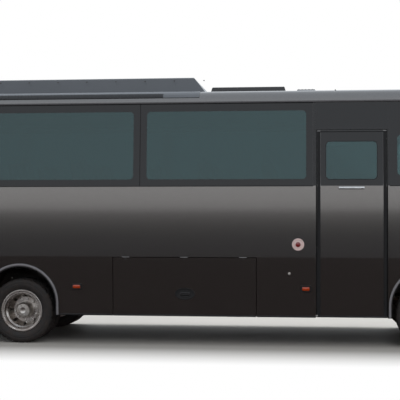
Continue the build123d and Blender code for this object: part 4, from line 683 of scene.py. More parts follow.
def disc(bm, centre, axis, radius, thick, sides=24, index=0, dome=0.0, inner=0.0):
    """A round plate that starts at centre and stands thick along axis, with a slightly domed face."""
    axis = Vector(axis).normalized()
    side = axis.orthogonal().normalized()
    other = axis.cross(side)
    steps = [(1.0, 0.0), (1.0, thick * 0.75), (0.94, thick), (0.5, thick + dome * 0.8), (0.02, thick + dome)]
    if inner:
        steps = [
            (1.0, 0.0), (1.0, thick * 0.8), (0.95, thick),
            (inner + 0.03, thick), (inner, thick * 0.6), (inner, 0),
        ]
    rings = [
        [
            Vector(centre) + axis * up + (side * math.cos(a) + other * math.sin(a)) * radius * share
            for a in angles(sides)
        ]
        for share, up in steps
    ]
    loft(bm, rings, True, bool(inner), not inner, index)


HEX_CORNER = 0.577


def hex_bolt(bm, centre, axis, across, height, index=0):
    """A hexagon head on a washer."""
    disc(bm, centre, axis, across * 0.72, height * 0.25, 16, index)
    axis = Vector(axis).normalized()
    start = Vector(centre) + axis * height * 0.25
    side = axis.orthogonal().normalized()
    other = axis.cross(side)
    rings = [
        [
            start + axis * up + (side * math.cos(a) + other * math.sin(a)) * across * HEX_CORNER * share
            for a in angles(6)
        ]
        for share, up in ((1.0, 0.0), (1.0, height * 0.62), (0.86, height * 0.75))
    ]
    loft(bm, rings, True, False, True, index)


def oval(x, z, half_x, half_z, count=48):
    """Points round an oval in X and Z."""
    return [(x + half_x * math.cos(a), z + half_z * math.sin(a)) for a in angles(count)]


def rounded_loop(low_x, high_x, low_z, high_z, radius, steps=6):
    """Points round a rounded rectangle in X and Z."""
    points = []
    for cx, cz, start in (
        (high_x - radius, high_z - radius, 0), (low_x + radius, high_z - radius, 90),
        (low_x + radius, low_z + radius, 180), (high_x - radius, low_z + radius, 270),
    ):
        for i in range(steps + 1):
            a = math.radians(start + 90 * i / steps)
            points.append((cx + radius * math.cos(a), cz + radius * math.sin(a)))
    return points


def refined(points, step, closed=True):
    """The same line with points no more than step apart."""
    line = []
    ends = list(zip(points, points[1:] + points[:1])) if closed else list(zip(points, points[1:]))
    for (x0, z0), (x1, z1) in ends:
        count = max(1, math.ceil(math.hypot(x1 - x0, z1 - z0) / step))
        line += [(x0 + (x1 - x0) * i / count, z0 + (z1 - z0) * i / count) for i in range(count)]
    return line if closed else line + [points[-1]]


# Sections of a strip: share of its width, and of its height off the skin
FLAT = ((-0.5, 0.0), (-0.5, 1.0), (-0.36, 1.0), (0.36, 1.0), (0.5, 1.0), (0.5, 0.0))
ROUND = tuple((-0.5 * math.cos(math.pi * i / 8), math.sin(math.pi * i / 8)) for i in range(9))


def wall_strip(bm, side, points, width, low, high, closed=True, index=0, crown=0.3, step=0.25, form=FLAT):
    """A strip along a line on the side wall, between two depths off the skin: flat or round in section."""
    line = refined(points, step, closed)
    rings, count = [], len(line)
    for i, (x, z) in enumerate(line):
        before = line[i - 1] if i or closed else (x, z)
        after = line[(i + 1) % count] if i < count - 1 or closed else (x, z)
        dx, dz = after[0] - before[0], after[1] - before[1]
        length = math.hypot(dx, dz)
        nx, nz = dz / length, -dx / length
        ring = []
        for share, rise in form:
            eased = crown if form is FLAT and rise and abs(share) == 0.5 else 0.0
            depth = low + (high - low) * (rise - eased)
            px, pz = x + nx * width * share, z + nz * width * share
            ring.append((px, side * (half_width(pz) + depth), pz))
        rings.append(ring)
    loft(bm, rings, True, closed, True, index)


def dress(*nodes_and_finish):
    """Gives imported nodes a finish."""
    *nodes, finish = nodes_and_finish
    for name in nodes:
        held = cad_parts[name]
        if not held.material_slots:
            held.data.materials.append(FINISHES[finish])
        for slot in held.material_slots:
            slot.link = "OBJECT"
            slot.material = FINISHES[finish]


WHEELS = (
    ("front_left_wheel", "tyre_front_left", LEFT, FRONT_AXLE, (WHEEL_PLANE,), 1),
    ("front_right_wheel", "tyre_front_right", RIGHT, FRONT_AXLE, (WHEEL_PLANE,), 1),
    ("rear_left_wheels", "tyres_rear_left", LEFT, REAR_AXLE, (WHEEL_PLANE, WHEEL_PLANE - TWIN_SPACING), -1),
    ("rear_right_wheels", "tyres_rear_right", RIGHT, REAR_AXLE, (WHEEL_PLANE, WHEEL_PLANE - TWIN_SPACING), -1),
)


class DressShell(bpy.types.Operator):
    """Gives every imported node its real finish"""

    bl_idname = "coach.dress_shell"
    bl_label = "Dress the packed nodes"

    def execute(self, context):
        make_finishes(context.scene.coach_colours)
        dress(
            "side_wall_right", "side_wall_left", "roof_panel", "front_mask", "front_bumper", "rear_panel",
            "rear_bumper", "driver_door", "passenger_door", "luggage_hatch_right", "luggage_hatch_left",
            "boot_lid", "paint",
        )
        dress("arch_lips", "satin_black")
        dress("wheel_arches", "luggage_bays", "under")
        dress("grille", "mirrors", "wipers", "black")
        dress("roof_hatch", "lid")
        dress("roof_units", "roof_unit")
        dress("side_glass", "side_glass")
        dress("screens", "end_glass")
        dress("passenger_door_glass", "door_glass")
        dress("driver_door_glass", "driver_glass")
        dress("headlamps", "clear")
        dress("tail_lamps", "red")
        dress("marker_lamps", "black")
        dress("door_arms", "steel")
        dress("chassis_frame", "front_axle_beam", "leaf_springs", "propshaft", "frame")
        dress("rear_axle", "engine", "knuckle_left", "knuckle_right", "iron")
        dress("tie_rod", "steel")
        dress("exhaust", "exhaust")
        dress("fuel_tank", "tank")
        dress("cabin_floor", "floor")
        dress("dashboard", "steering_wheel", "interior")
        dress("wheel_front_left", "wheel_front_right", "wheels_rear_left", "wheels_rear_right", "wheel")
        return {"FINISHED"}


# The floor: rings of its mesh, the box round the coach that keeps its shadow (middle and half span), how
# far from that box the shadow fades out, and how far off the floor's painted reflection turns paler
FLOOR_RINGS = (6.0, 14.0, 60.0)
SHADED = (("X", 0.0, 4.15), ("Y", 0.45, 1.55))
SHADOW_FADE, PAINTED_REFLECTION_FADE = (0.28, 1.52), (6.0, 28.0)
# Dark brown that the floor glows with in reflections only, near the coach and far off: a painted reflection of dark
# ground
PAINTED_REFLECTION_NEAR, PAINTED_REFLECTION_FAR = (0.034, 0.023, 0.022, 1), (0.080, 0.078, 0.084, 1)
# The sky by height, from below the horizon to the zenith: as metal and glass mirror it, and as it lights
SKY_SPAN = (-0.2, 1.0)
MIRRORED_SKY = [(0.0, 0.03), (0.150, 0.10), (0.164, 0.15), (0.168, 0.90), (0.30, "f4f9ff"), (1.0, "dde6f0")]
LIGHTING_SKY = [(0.0, 0.10), (0.167, 0.20), (0.5, 0.62), (1.0, 0.88)]
SOFTBOXES = (
    ("key_softbox", (3.5, 3.0, 9.5), (0.5, 0, 0.8), 6.0, 760),
    ("fill_softbox", (-7.0, 5.0, 7.5), (0, 0, 1.0), 7.0, 420),
    ("front_softbox", (4.0, -10.0, 6.0), (0, 0, 1.2), 6.0, 230),
)
SENSOR, PHOTO_WIDTH = 36.0, 400


def studio_paint(colours):
    """Matt floor paint: keeps the coach's shadow near it, fades to white further off, and glows dark as painted
    reflection.
    """
    made, tree, shader = material("painted_studio_floor", Roughness=0.7, IOR=1.4)
    point = place(tree)
    tone = spread(tree, grain(tree, point, 0.8, 5.0), 0.3, 0.7, 0.97, 1.0)
    darker = [c * 0.95 for c in colours.floor] + [1.0]
    feed(tree, shader, Base_Color=blend(tree, tone, darker, [*colours.floor, 1.0]))
    rays = node(tree, "ShaderNodeLightPath").outputs
    parts = node(tree, "ShaderNodeSeparateXYZ", links={"Vector": point}).outputs
    reach = []
    for axis, middle, half in SHADED:
        from_middle = maths(tree, "ABSOLUTE", maths(tree, "SUBTRACT", parts[axis], middle))
        off = maths(tree, "MAXIMUM", maths(tree, "SUBTRACT", from_middle, half), 0.0)
        reach.append(maths(tree, "POWER", off, 2.0))
    gap = maths(tree, "SQRT", maths(tree, "ADD", *reach))
    fade = maths(tree, "MULTIPLY", spread(tree, gap, *SHADOW_FADE), rays["Is Camera Ray"])
    white = node(tree, "ShaderNodeEmission", {"Color": (1, 1, 1, 1), "Strength": 1.0}).outputs["Emission"]
    # Seen in reflections, the floor glows dark near the coach and paler further off: a painted reflection of dark
    # ground
    mirrored = node(
        tree, "ShaderNodeEmission", {"Strength": 1.0},
        {"Color": blend(tree, spread(tree, gap, *PAINTED_REFLECTION_FADE), PAINTED_REFLECTION_NEAR, PAINTED_REFLECTION_FAR)},
    ).outputs["Emission"]
    seen = node(
        tree, "ShaderNodeMixShader", links={0: fade, 1: shader.outputs["BSDF"], 2: white},
    ).outputs["Shader"]
    whole = node(tree, "ShaderNodeMixShader", links={0: rays["Is Glossy Ray"], 1: seen, 2: mirrored})
    tree.links.new(whole.outputs["Shader"], tree.nodes["Material Output"].inputs["Surface"])
    return made


def studio_sky():
    """White for the camera and through glass, a graded sky in reflections, and a softer one as light."""
    world = bpy.data.worlds.new("studio_sky")
    world.use_nodes = True
    tree = world.node_tree
    tree.nodes.clear()
    rays = node(tree, "ShaderNodeLightPath").outputs
    way = node(tree, "ShaderNodeTexCoord").outputs["Generated"]
    up = node(tree, "ShaderNodeSeparateXYZ", links={"Vector": way}).outputs["Z"]
    mirrored, lighting = [
        node(tree, "ShaderNodeValToRGB", links={"Fac": spread(tree, up, *SKY_SPAN)}, stops=stops).outputs["Color"]
        for stops in (MIRRORED_SKY, LIGHTING_SKY)
    ]
    seen = maths(tree, "MAXIMUM", rays["Is Camera Ray"], rays["Is Transmission Ray"])
    shown = blend(tree, seen, lighting, (1, 1, 1, 1))
    back = node(
        tree, "ShaderNodeBackground", {"Strength": 1.0},
        {"Color": blend(tree, rays["Is Glossy Ray"], shown, mirrored)},
    )
    node(tree, "ShaderNodeOutputWorld", links={"Surface": back.outputs["Background"]})
    return world


class AddStage(bpy.types.Operator):
    """Studio floor, sky light, key lights and the camera"""

    bl_idname = "coach.add_stage"
    bl_label = "Stage, lights and camera"

    def execute(self, context):
        scene = context.scene
        bm = bmesh.new()
        rings = [[(r * math.cos(a), r * math.sin(a), 0.0) for a in angles(72)] for r in FLOOR_RINGS]
        loft(bm, rings, True, False, False)
        bm.faces.new([v for v in bm.verts if v.co.length < (FLOOR_RINGS[0] + FLOOR_RINGS[1]) / 2])
        mesh = to_mesh("studio_floor", bm)
        for polygon in mesh.polygons:
            if polygon.normal.z < 0:
                polygon.flip()
        mesh.materials.append(studio_paint(scene.coach_colours))
        floor = bpy.data.objects.new("studio_floor", mesh)
        scene.collection.objects.link(floor)
        scene.world = studio_sky()
        for name, at, aim, size, power in SOFTBOXES:
            lamp = bpy.data.lights.new(name, "AREA")
            lamp.shape, lamp.size, lamp.energy = "DISK", size, power
            held = bpy.data.objects.new(name, lamp)
            held.location = at
            held.rotation_euler = (Vector(aim) - Vector(at)).to_track_quat("-Z", "Y").to_euler()
            held.visible_glossy = False
            scene.collection.objects.link(held)
        lens = bpy.data.cameras.new("camera")
        lens.sensor_width, lens.lens = SENSOR, SENSOR * CAMERA_FOCAL / PHOTO_WIDTH
        held = bpy.data.objects.new("camera", lens)
        held.location = CAMERA_AT
        held.rotation_euler = (math.radians(90 + CAMERA_PITCH), 0, math.radians(-CAMERA_YAW))
        scene.collection.objects.link(held)
        scene.camera = held
        scene.view_settings.view_transform = "Standard"
        return {"FINISHED"}


def tyre_section(tread, cut, sipe):
    """Radius and distance from the middle, from bead to bead of the tyre, less a cut's or a sipe's depth."""
    half = [
        (BEAD_R + 0.001, 0.074), (RIM_R + 0.002, 0.0755), (RIM_R + 0.006, 0.083), (0.262, 0.094),
        (0.268, 0.0965), (0.276, 0.0985), (0.279, 0.1010), (0.300, 0.1055), (0.318, 0.1068),
        (0.320, 0.1055), (0.334, 0.1045), (0.336, 0.1056), (0.352, 0.1030), (0.362, 0.0985),
        (0.371, 0.0945), (0.3785 - cut, 0.0885), (0.3815 - cut, 0.082), (TYRE_R - cut * 0.9, 0.078),
        (TYRE_R - cut * 0.9, 0.054), (TYRE_R - tread, 0.051), (TYRE_R - tread, 0.043),
        (TYRE_R - sipe, 0.040), (TYRE_R - sipe, 0.018), (TYRE_R - tread, 0.015),
        (TYRE_R - tread, 0.007), (TYRE_R - 0.001, 0.005),
    ]
    return half + [(r, -y) for r, y in reversed(half)]


# Steps round a tyre: every sixth is a cross groove, and a sipe lies half way between two
TYRE_STEPS, BLOCK_STEPS, SIPE_SHARE = 180, 6, 0.35


class AddTyres(bpy.types.Operator):
    """Tyres with ribs, cross grooves, shoulder blocks and a stepped side wall"""

    bl_idname = "coach.add_tyres"
    bl_label = "Tyres"

    def execute(self, context):
        tread = context.scene.coach_sizes.tread
        for body, node_name, side, axle, planes, _ in WHEELS:
            bm = bmesh.new()
            for plane in planes:
                rings = []
                for i, a in enumerate(angles(TYRE_STEPS)):
                    block = i % BLOCK_STEPS
                    cut = tread if block == 0 else 0.0
                    sipe = tread * SIPE_SHARE if block == BLOCK_STEPS // 2 else 0.0
                    rings.append([
                        (axle + r * math.cos(a), side * plane + y, AXLE_Z + r * math.sin(a))
                        for r, y in tyre_section(tread, cut, sipe)
                    ])
                loft(bm, rings, False, True, False)
            made = piece(node_name + "_tread", bm, body, "tyre", 34)
            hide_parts(node_name)
        return {"FINISHED"}


# Rims and hubs: each outline is radius, then distance from the wheel's middle plane or from its disc's
# outer face
RIM_LIP = (
    (RIM_R - 0.020, 0.0855), (RIM_R - 0.018, 0.0895), (RIM_R - 0.006, 0.0915), (RIM_R + 0.004, 0.0905),
    (RIM_R + 0.008, 0.0865), (RIM_R + 0.007, 0.0815), (RIM_R + 0.0005, 0.0795), (RIM_R - 0.0125, 0.0795),
)
REAR_DISH = (
    (0.2215, 0.0855), (0.2190, 0.0855), (0.2045, 0.0520), (0.2045, 0.0480), (0.2070, 0.0480), (0.2215, 0.0810),
)
REAR_CONE = (
    (0.086, 0.026), (0.083, 0.036), (0.074, 0.0455), (0.036, 0.0475), (0.034, 0.0475), (0.030, 0.0455),
    (0.013, 0.0455), (0.012, 0.0452),
)
FRONT_CAP = (
    (0.070, 0.0125), (0.0715, 0.014), (0.0575, 0.0252), (0.050, 0.0262), (0.020, 0.0268), (0.0005, 0.0268),
)
DISC_FACE, HAND_HOLE_R, VALVE_R, VALVE_TURN = 0.1225, 0.170, 0.185, 0.55


def on_wheel(axle, radius, angle, y):
    """A point of a wheel at a radius and angle from its hub, in the plane y."""
    return Vector((axle + radius * math.cos(angle), y, AXLE_Z + radius * math.sin(angle)))


class AddWheelTrim(bpy.types.Operator):
    """Rolled rim edges, rear dishes and hub cones, front hub caps, wheel nuts, hand-hole rings and valves"""

    bl_idname = "coach.add_wheel_trim"
    bl_label = "Wheel trim"

    def execute(self, context):
        for body, _, side, axle, planes, out in WHEELS:
            outer = planes[0]
            way = (0, side, 0)
            bm = bmesh.new()
            for plane in planes:
                for edge in (-1, 1):
                    lip = [(r, plane + side * edge * y) for r, y in RIM_LIP]
                    turned_form(bm, lip, axle, AXLE_Z, 72, 0, side)
            face = outer + out * DISC_FACE
            if out < 0:
                turned_form(bm, [(r, outer + y) for r, y in REAR_DISH], axle, AXLE_Z, 72, 0, side)
                cone = [(0.100, face + 0.031), (0.1005, face + 0.046)]
                cone += [(r, outer + y) for r, y in REAR_CONE]
                turned_form(bm, cone, axle, AXLE_Z, 64, 1, side, False)
                for a in angles(8, 0.5):
                    hex_bolt(bm, on_wheel(axle, 0.058, a, side * (outer + 0.0458)), way, 0.013, 0.010, 1)
                nut_r, nut_at, ring_at = 0.130, face + 0.0035, face + 0.004
            else:
                turned_form(bm, [(r, face + y) for r, y in FRONT_CAP], axle, AXLE_Z, 48, 1, side, False)
                nut_r, nut_at, ring_at = 0.118, face + 0.0005, face
            for a in angles(10, 0.25):
                spot = on_wheel(axle, nut_r, a, side * nut_at)
                hex_bolt(bm, spot, way, 0.027, 0.026, 1)
                disc(bm, spot + Vector((0, side * 0.018, 0)), way, 0.009, 0.016, 10, 1)
            for a in angles(8):
                hole = on_wheel(axle, HAND_HOLE_R, a, side * ring_at)
                disc(bm, hole, way, 0.0215, 0.0035, 20, 0, 0.0, 0.86)
            valve = on_wheel(axle, VALVE_R, VALVE_TURN, side * (outer + 0.040 * out))
            stem = [valve + Vector((0, side * reach, 0)) for reach in (0.0, 0.012, 0.038)]
            tube(bm, stem, 0.0042, 8, False, 1)
            piece(body + "_trim", bm, body, ("wheel", "hub"), 35)
        return {"FINISHED"}


def glass_edging(bm, side, light):
    """A thin line of rubber round a door's clear glass."""
    low_x, high_x, low_z, high_z = light
    out = 0.004
    loop = rounded_loop(low_x - out, high_x + out, low_z - out, high_z + out, 0.047)
    wall_strip(bm, side, loop, 0.006, -0.0005, 0.0012)


class AddDoorTrim(bpy.types.Operator):
    """Passenger door's seals, bar, grips and lining, and the driver's door's handle and rub strip"""

    bl_idname = "coach.add_door_trim"
    bl_label = "Door trim"

    def execute(self, context):
        seal = context.scene.coach_sizes.seal
        x0, x1, z0, z1 = DOOR_LEAF
        bm = bmesh.new()
        for x in (x0 + seal / 2 + 0.0005, x1 - seal / 2 - 0.0005):
            wall_strip(bm, RIGHT, [(x, z0 + 0.002), (x, z1 - 0.001)], seal, -0.0085, -0.0035, False)
            for rib in (x - 0.011, x, x + 0.011):
                wall_strip(bm, RIGHT, [(rib, z0 + 0.003), (rib, z1 - 0.002)], 0.004, -0.004, -0.0018, False)
        upper, lower = z1 - 0.007, z0 + 0.004
        wall_strip(bm, RIGHT, [(x0 + seal, upper), (x1 - seal, upper)], 0.012, -0.001, 0.0025, False)
        wall_strip(bm, RIGHT, [(x0 + 0.004, lower), (x1 - 0.004, lower)], 0.016, -0.001, 0.003, False)
        glass_edging(bm, RIGHT, DOOR_LIGHT)
        piece("door_seals", bm, "passenger_door", "rubber", 35)
        bm = bmesh.new()
        low_x, high_x, low_z, high_z = BAR
        rounded_box(
            bm, (low_x - 0.002, -HALF - 0.0165, low_z - 0.001), (high_x + 0.002, -HALF - 0.001, high_z + 0.001),
            0.006, 4,
        )
        for x in (low_x + 0.022, high_x - 0.022):
            disc(bm, (x, -HALF - 0.016, (low_z + high_z) / 2), (0, -1, 0), 0.008, 0.002, 20, 0, 0.0006)
        piece("door_bar", bm, "passenger_door", "bright")
        bm = bmesh.new()
        back = -(HALF - 0.040)
        for x, low, high in ((x0 + 0.10, 0.72, 1.78), (x1 - 0.16, 0.95, 1.75)):
            y = back + 0.024
            tube(bm, [
                (x, back, low), (x, y, low + 0.02), (x, y, low + 0.07),
                (x, y, high - 0.07), (x, y, high - 0.02),
                (x, back, high),
            ], 0.011, 12)
            for z in (low, high):
                disc(bm, (x, back, z), (0, 1, 0), 0.024, 0.006, 20)
        piece("door_grips", bm, "passenger_door", "bright")
        bm = bmesh.new()
        rounded_box(bm, (x0 + 0.05, back - 0.001, 0.42), (x1 - 0.05, back + 0.006, 1.80), 0.004, 2)
        for z in (0.56, 0.70, 0.84):
            rounded_box(bm, (x0 + 0.22, back + 0.005, z), (x1 - 0.22, back + 0.009, z + 0.018), 0.002, 2)
        piece("door_lining", bm, "passenger_door", "lining")
        bm = bmesh.new()
        wall_strip(bm, RIGHT, rounded_loop(1.728, 2.537, 0.352, 2.509, 0.004, 1), 0.009, -0.043, -0.022)
        piece("doorway_seal", bm, "coach", "rubber", 35)
        bm = bmesh.new()
        glass_edging(bm, LEFT, DRIVER_LIGHT)
        rounded_box(bm, (2.672, HALF + 0.001, 1.555), (2.845, HALF + 0.008, 1.645), 0.006, 3)
        rounded_box(bm, (2.690, HALF + 0.006, 1.585), (2.828, HALF + 0.026, 1.617), 0.009, 4)
        disc(bm, (2.700, HALF, 1.520), (0, 1, 0), 0.014, 0.006, 24)
        wall_strip(bm, LEFT, [(2.64, 1.200), (3.42, 1.200)], 0.030, 0.0, 0.010, False)
        piece("driver_door_trim", bm, "driver_door", "black")
        return {"FINISHED"}


# Side trim: window joints, spans of the window rubbers and of the skirt's edging, and the gutter's section
JOINTS, RUBBER_SPAN = (-2.350, -0.335), (-3.80, 1.690)
SKIRT_SPANS = {
    RIGHT: ((-3.82, -2.24), (-1.32, -0.665), (1.045, 1.718)),
    LEFT: ((-3.82, -2.24), (-1.32, -0.665), (1.045, 2.60)),
}
TAPES = ((1.6885, 1.7280), (2.5370, 2.5620))
GUTTER = (
    (-0.002, 0.004), (0.012, 0.002), (0.015, 0.006), (0.013, 0.020), (0.009, 0.020), (0.008, 0.010),
    (-0.004, 0.012),
)


class AddSideTrim(bpy.types.Operator):
    """Hatch handles, marker lamps, release disc, window rubbers, tapes, gutters, edging and arch beads"""

    bl_idname = "coach.add_side_trim"
    bl_label = "Side trim"

    def execute(self, context):
        for side, body in ((RIGHT, "luggage_hatch_right"), (LEFT, "luggage_hatch_left")):
            self.add_handle(side, body)
            bm = bmesh.new()
            line = [(HATCH[0] + 0.012, HATCH[2] + 0.010), (HATCH[1] - 0.012, HATCH[2] + 0.010)]
            wall_strip(bm, side, line, 0.018, -0.001, 0.003, False)
            piece(body + "_edge", bm, body, "rubber")
        self.add_markers()
        self.add_release()
        bm = bmesh.new()
        for side in (RIGHT, LEFT):
            for x in JOINTS:
                line = [(x, SILL_Z + 0.004), (x, CANTRAIL_Z - 0.004)]
                wall_strip(bm, side, line, 0.010, -0.004, 0.0012, False)
            wall_strip(bm, side, [(x, SILL_Z - 0.001) for x in RUBBER_SPAN], 0.009, -0.001, 0.003, False)
            wall_strip(bm, side, [(x, CANTRAIL_Z - 0.003) for x in RUBBER_SPAN], 0.008, -0.001, 0.003, False)
        wall_strip(bm, RIGHT, [(2.560, SILL_Z - 0.001), (3.480, SILL_Z - 0.001)], 0.009, -0.001, 0.003, False)
        piece("window_rubbers", bm, "coach", "rubber", 35)
        bm = bmesh.new()
        for low, high in TAPES:
            middle = (low + high) / 2
            line = [(middle, SILL_Z + 0.002), (middle, CANTRAIL_Z - 0.002)]
            wall_strip(bm, RIGHT, line, high - low, -0.0005, 0.0009, False, 0, 0.05)
        wall_strip(bm, RIGHT, [(1.730, 2.5245), (2.535, 2.5245)], 0.017, -0.0005, 0.0009, False, 0, 0.05)
        piece("pillar_tapes", bm, "coach", "satin_black", 35)
        bm = bmesh.new()
        edge = half_width(CANTRAIL_Z)
        for side in (RIGHT, LEFT):
            places = [-3.82 + i * 0.25 for i in range(29)] + [3.49]
            loft(bm, [[(x, side * (edge + dy), CANTRAIL_Z + dz) for dy, dz in GUTTER] for x in places])
        piece("rain_gutters", bm, "coach", "moulding", 35)
        bm = bmesh.new()
        for side in (RIGHT, LEFT):
            for span in SKIRT_SPANS[side]:
                wall_strip(bm, side, [(x, SKIRT_Z + 0.010) for x in span], 0.018, -0.001, 0.004, False)
        piece("skirt_edging", bm, "coach", "rubber", 35)
        bm = bmesh.new()
        for side in (RIGHT, LEFT):
            for axle in (FRONT_AXLE, REAR_AXLE):
                arc = [
                    (axle + ARCH_BEAD_R * math.cos(a), ARCH_Z + ARCH_BEAD_R * math.sin(a))
                    for a in (math.pi * i / 40 for i in range(41))
                ]
                line = [(axle + ARCH_BEAD_R, SKIRT_Z + 0.004), *arc, (axle - ARCH_BEAD_R, SKIRT_Z + 0.004)]
                wall_strip(bm, side, line, 0.028, 0.008, 0.019, False, 0, 0.3, 0.06, ROUND)
        piece("arch_beads", bm, "coach", "bead", 60)
        return {"FINISHED"}

    def add_handle(self, side, body):
        """The luggage hatch's recessed handle: an oval rim, its floor, four ridges, the flap and its lock."""
        bm = bmesh.new()
        x, z, rx, rz = HANDLE
        skin = half_width(z)
        wall_strip(bm, side, oval(x, z, rx, rz), 0.010, -0.003, 0.0035, True, 0, 0.4, 0.05)
        line = oval(x, z, rx * 0.985, rz * 0.97)
        loft(bm, [
            [(px, side * (skin - 0.0158), pz) for px, pz in line],
            [(px, side * (skin - 0.0145), pz) for px, pz in line],
            [(x + (px - x) * 0.8, side * (skin - 0.0150), z + (pz - z) * 0.8) for px, pz in line],
        ])
        for at in (-0.030, -0.010, 0.010, 0.030):
            low, high = side * skin - 0.003, side * skin + 0.0005
            rounded_box(bm, (x - 0.040, low, z + at - 0.005), (x + 0.040, high, z + at + 0.003), 0.002, 2)
        low, high = sorted((side * (skin - 0.013), side * (skin - 0.002)))
        rounded_box(bm, (x - 0.055, low, z - 0.022), (x + 0.055, high, z + 0.020), 0.006, 3)
        disc(bm, (x, side * (skin - 0.002), z), (0, side, 0), 0.011, 0.003, 20)
        piece(body + "_handle", bm, body, "black")

    def add_markers(self):
        """Bezels and domed lenses of the side marker lamps."""
        bezels, lenses = bmesh.new(), bmesh.new()
        for side in (RIGHT, LEFT):
            for x, z in MARKERS:
                loop = rounded_loop(x - 0.060, x + 0.060, z - 0.0315, z + 0.0315, 0.008, 3)
                wall_strip(bezels, side, loop, 0.007, 0.0, 0.009)
                y = half_width(z) + 0.0135
                loop = rounded_loop(x - 0.043, x + 0.043, z - 0.020, z + 0.020, 0.009, 4)
                loft(lenses, [
                    [(x + (px - x) * share, side * (y + depth), z + (pz - z) * share) for px, pz in loop]
                    for share, depth in ((1.0, 0.0), (0.97, 0.003), (0.8, 0.0055), (0.4, 0.007), (0.02, 0.0075))
                ])
        piece("marker_bezels", bezels, "coach", "black")
        piece("marker_lenses", lenses, "coach", "amber", 60)

    def add_release(self):
        """The emergency door release's rim, face, button and screws, and its key switch."""
        bm = bmesh.new()
        x, z, radius = RELEASE
        y = -(HALF + 0.009)
        out = (0, -1, 0)
        disc(bm, (x, y, z), out, radius * 0.985, 0.0035, 48, 0, 0.0, 0.72)
        disc(bm, (x, y, z), out, radius * 0.70, 0.0015, 40, 0, 0.0005)
        disc(bm, (x, y - 0.001, z), out, radius * 0.42, 0.006, 32, 1, 0.003)
        for a in (math.radians(t) for t in (45, 135, 225, 315)):
            spot = (x + radius * 0.86 * math.cos(a), y - 0.0032, z + radius * 0.86 * math.sin(a))
            disc(bm, spot, out, 0.0045, 0.0015, 12, 2)
        x, z, radius = KEY_SWITCH
        y = -(half_width(z) + 0.009)
        disc(bm, (x, y, z), out, radius * 0.98, 0.002, 32, 2, 0.0, 0.5)
        disc(bm, (x, y, z), out, radius * 0.48, 0.001, 24, 2)
        piece("release_face", bm, "coach", ("button_white", "button_red", "hub"))


# Lamps: middle across and radius of the headlamps, height, radius and finish of the tail lamps, and lamp
# heights
HEADLAMPS, HEADLAMP_Z = ((0.700, 0.062), (0.845, 0.058)), 0.905
TAIL_LAMPS, TAIL_LAMP_Y = ((1.215, 0.052, 0), (1.080, 0.052, 1), (0.945, 0.046, 2), (0.845, 0.034, 0)), 0.905
FOG_LAMP, REFLECTOR = (0.62, 0.520), (-4.180, 0.80, 0.560)


class AddLamps(bpy.types.Operator):
    """Headlamp reflectors, tail lamp chambers, fog lamps, rear reflectors and roof marker lamps"""

    bl_idname = "coach.add_lamps"
    bl_label = "Lamps"

    def execute(self, context):
        bm = bmesh.new()
        for side in (RIGHT, LEFT):
            for y, radius in HEADLAMPS:
                x = 4.118 - 0.10 * (y - 0.62)
                disc(bm, (x - 0.030, side * y, HEADLAMP_Z), (1, 0, -0.02), radius, 0.030, 40, 0, 0.0, 0.80)
                disc(bm, (x - 0.028, side * y, HEADLAMP_Z), (1, 0, 0), radius * 0.78, 0.012, 36, 1, 0.016)
            low, high = sorted((side * 0.66, side * 0.93))
            rounded_box(bm, (4.052, low, 0.808), (4.082, high, 0.836), 0.006, 2, 2)
        piece("headlamp_units", bm, "coach", ("chrome", "clear_lens", "amber"))
        bm = bmesh.new()
        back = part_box("tail_lamps")[0][0]
        for side in (RIGHT, LEFT):
            for z, radius, index in TAIL_LAMPS:
                y = side * TAIL_LAMP_Y
                disc(bm, (back + 0.020, y, z), (-1, 0, 0), radius, 0.022, 40, 3, 0.0, 0.86)
                disc(bm, (back + 0.018, y, z), (-1, 0, 0), radius * 0.84, 0.014, 36, index, 0.006)
        piece("tail_lamp_units", bm, "coach", ("red", "amber", "clear_lens", "chrome"))
        bm = bmesh.new()
        y, z = FOG_LAMP
        for side in (RIGHT, LEFT):
            disc(bm, (4.182, side * y, z), (1, 0, 0), 0.050, 0.006, 36, 1, 0.0, 0.84)
            disc(bm, (4.180, side * y, z), (1, 0, 0), 0.042, 0.006, 32, 0, 0.004)
        piece("fog_lamps", bm, "coach", ("clear_lens", "chrome"))
        bm = bmesh.new()
        x, y, z = REFLECTOR
        for side in (RIGHT, LEFT):
            disc(bm, (x, side * y, z), (-1, 0, 0), 0.034, 0.010, 32, 0, 0.003)
            disc(bm, (x, side * y, z), (-1, 0, 0), 0.040, 0.006, 32, 1, 0.0, 0.86)
        rounded_box(bm, (-4.128, -0.14, 1.640), (-4.110, 0.14, 1.672), 0.006, 3)
        piece("rear_reflectors", bm, "coach", ("red", "black"))
        bm = bmesh.new()
        for y in (-0.62, -0.22, 0.22, 0.62):
            rounded_box(bm, (3.50, y - 0.045, 3.028), (3.60, y + 0.045, 3.052), 0.010, 3)
        piece("front_markers", bm, "coach", "amber")
        return {"FINISHED"}


# The roof's shoulder: centre (Y, Z) and radius of its cove, and the arcs in degrees that its covers take
COVE_CENTRE, COVE_R = (0.9410, 2.8264), 0.1664
SLOT_ARC, SKIRT_ARC = (30.0, 53.0), (53.0, 84.0)


def shoulder(rise, arc, steps=6):
    """Points over the roof's shoulder, raised off its skin, between two angles of its cove."""
    low, high = arc
    radius = COVE_R + rise
    points = []
    for i in range(steps + 1):
        a = math.radians(low + (high - low) * i / steps)
        points.append((COVE_CENTRE[0] + radius * math.cos(a), COVE_CENTRE[1] + radius * math.sin(a)))
    return points


def shoulder_cover(bm, side, places, arc, to_unit=False):
    """A thin cover over the roof's shoulder, carried on to the air conditioning unit if asked."""
    outer, inner = shoulder(0.0065, arc), shoulder(0.0010, arc)
    if to_unit:
        outer.append((0.7500, 3.0175))
        inner.append((0.7500, 3.0120))
    loft(bm, [[(x, side * y, z) for y, z in outer + inner[::-1]] for x in places])


COVER_PLACES, COVER_END = (-2.56, -1.70, -0.90, -0.07), (-0.07, 0.12, 0.36)
FAN_RINGS = (0.11, 0.15, 0.19, 0.225)
SEAM = ((-0.006, -0.004), (-0.005, 0.0025), (0.005, 0.0025), (0.006, -0.004))
UP = (0, 0, 1)


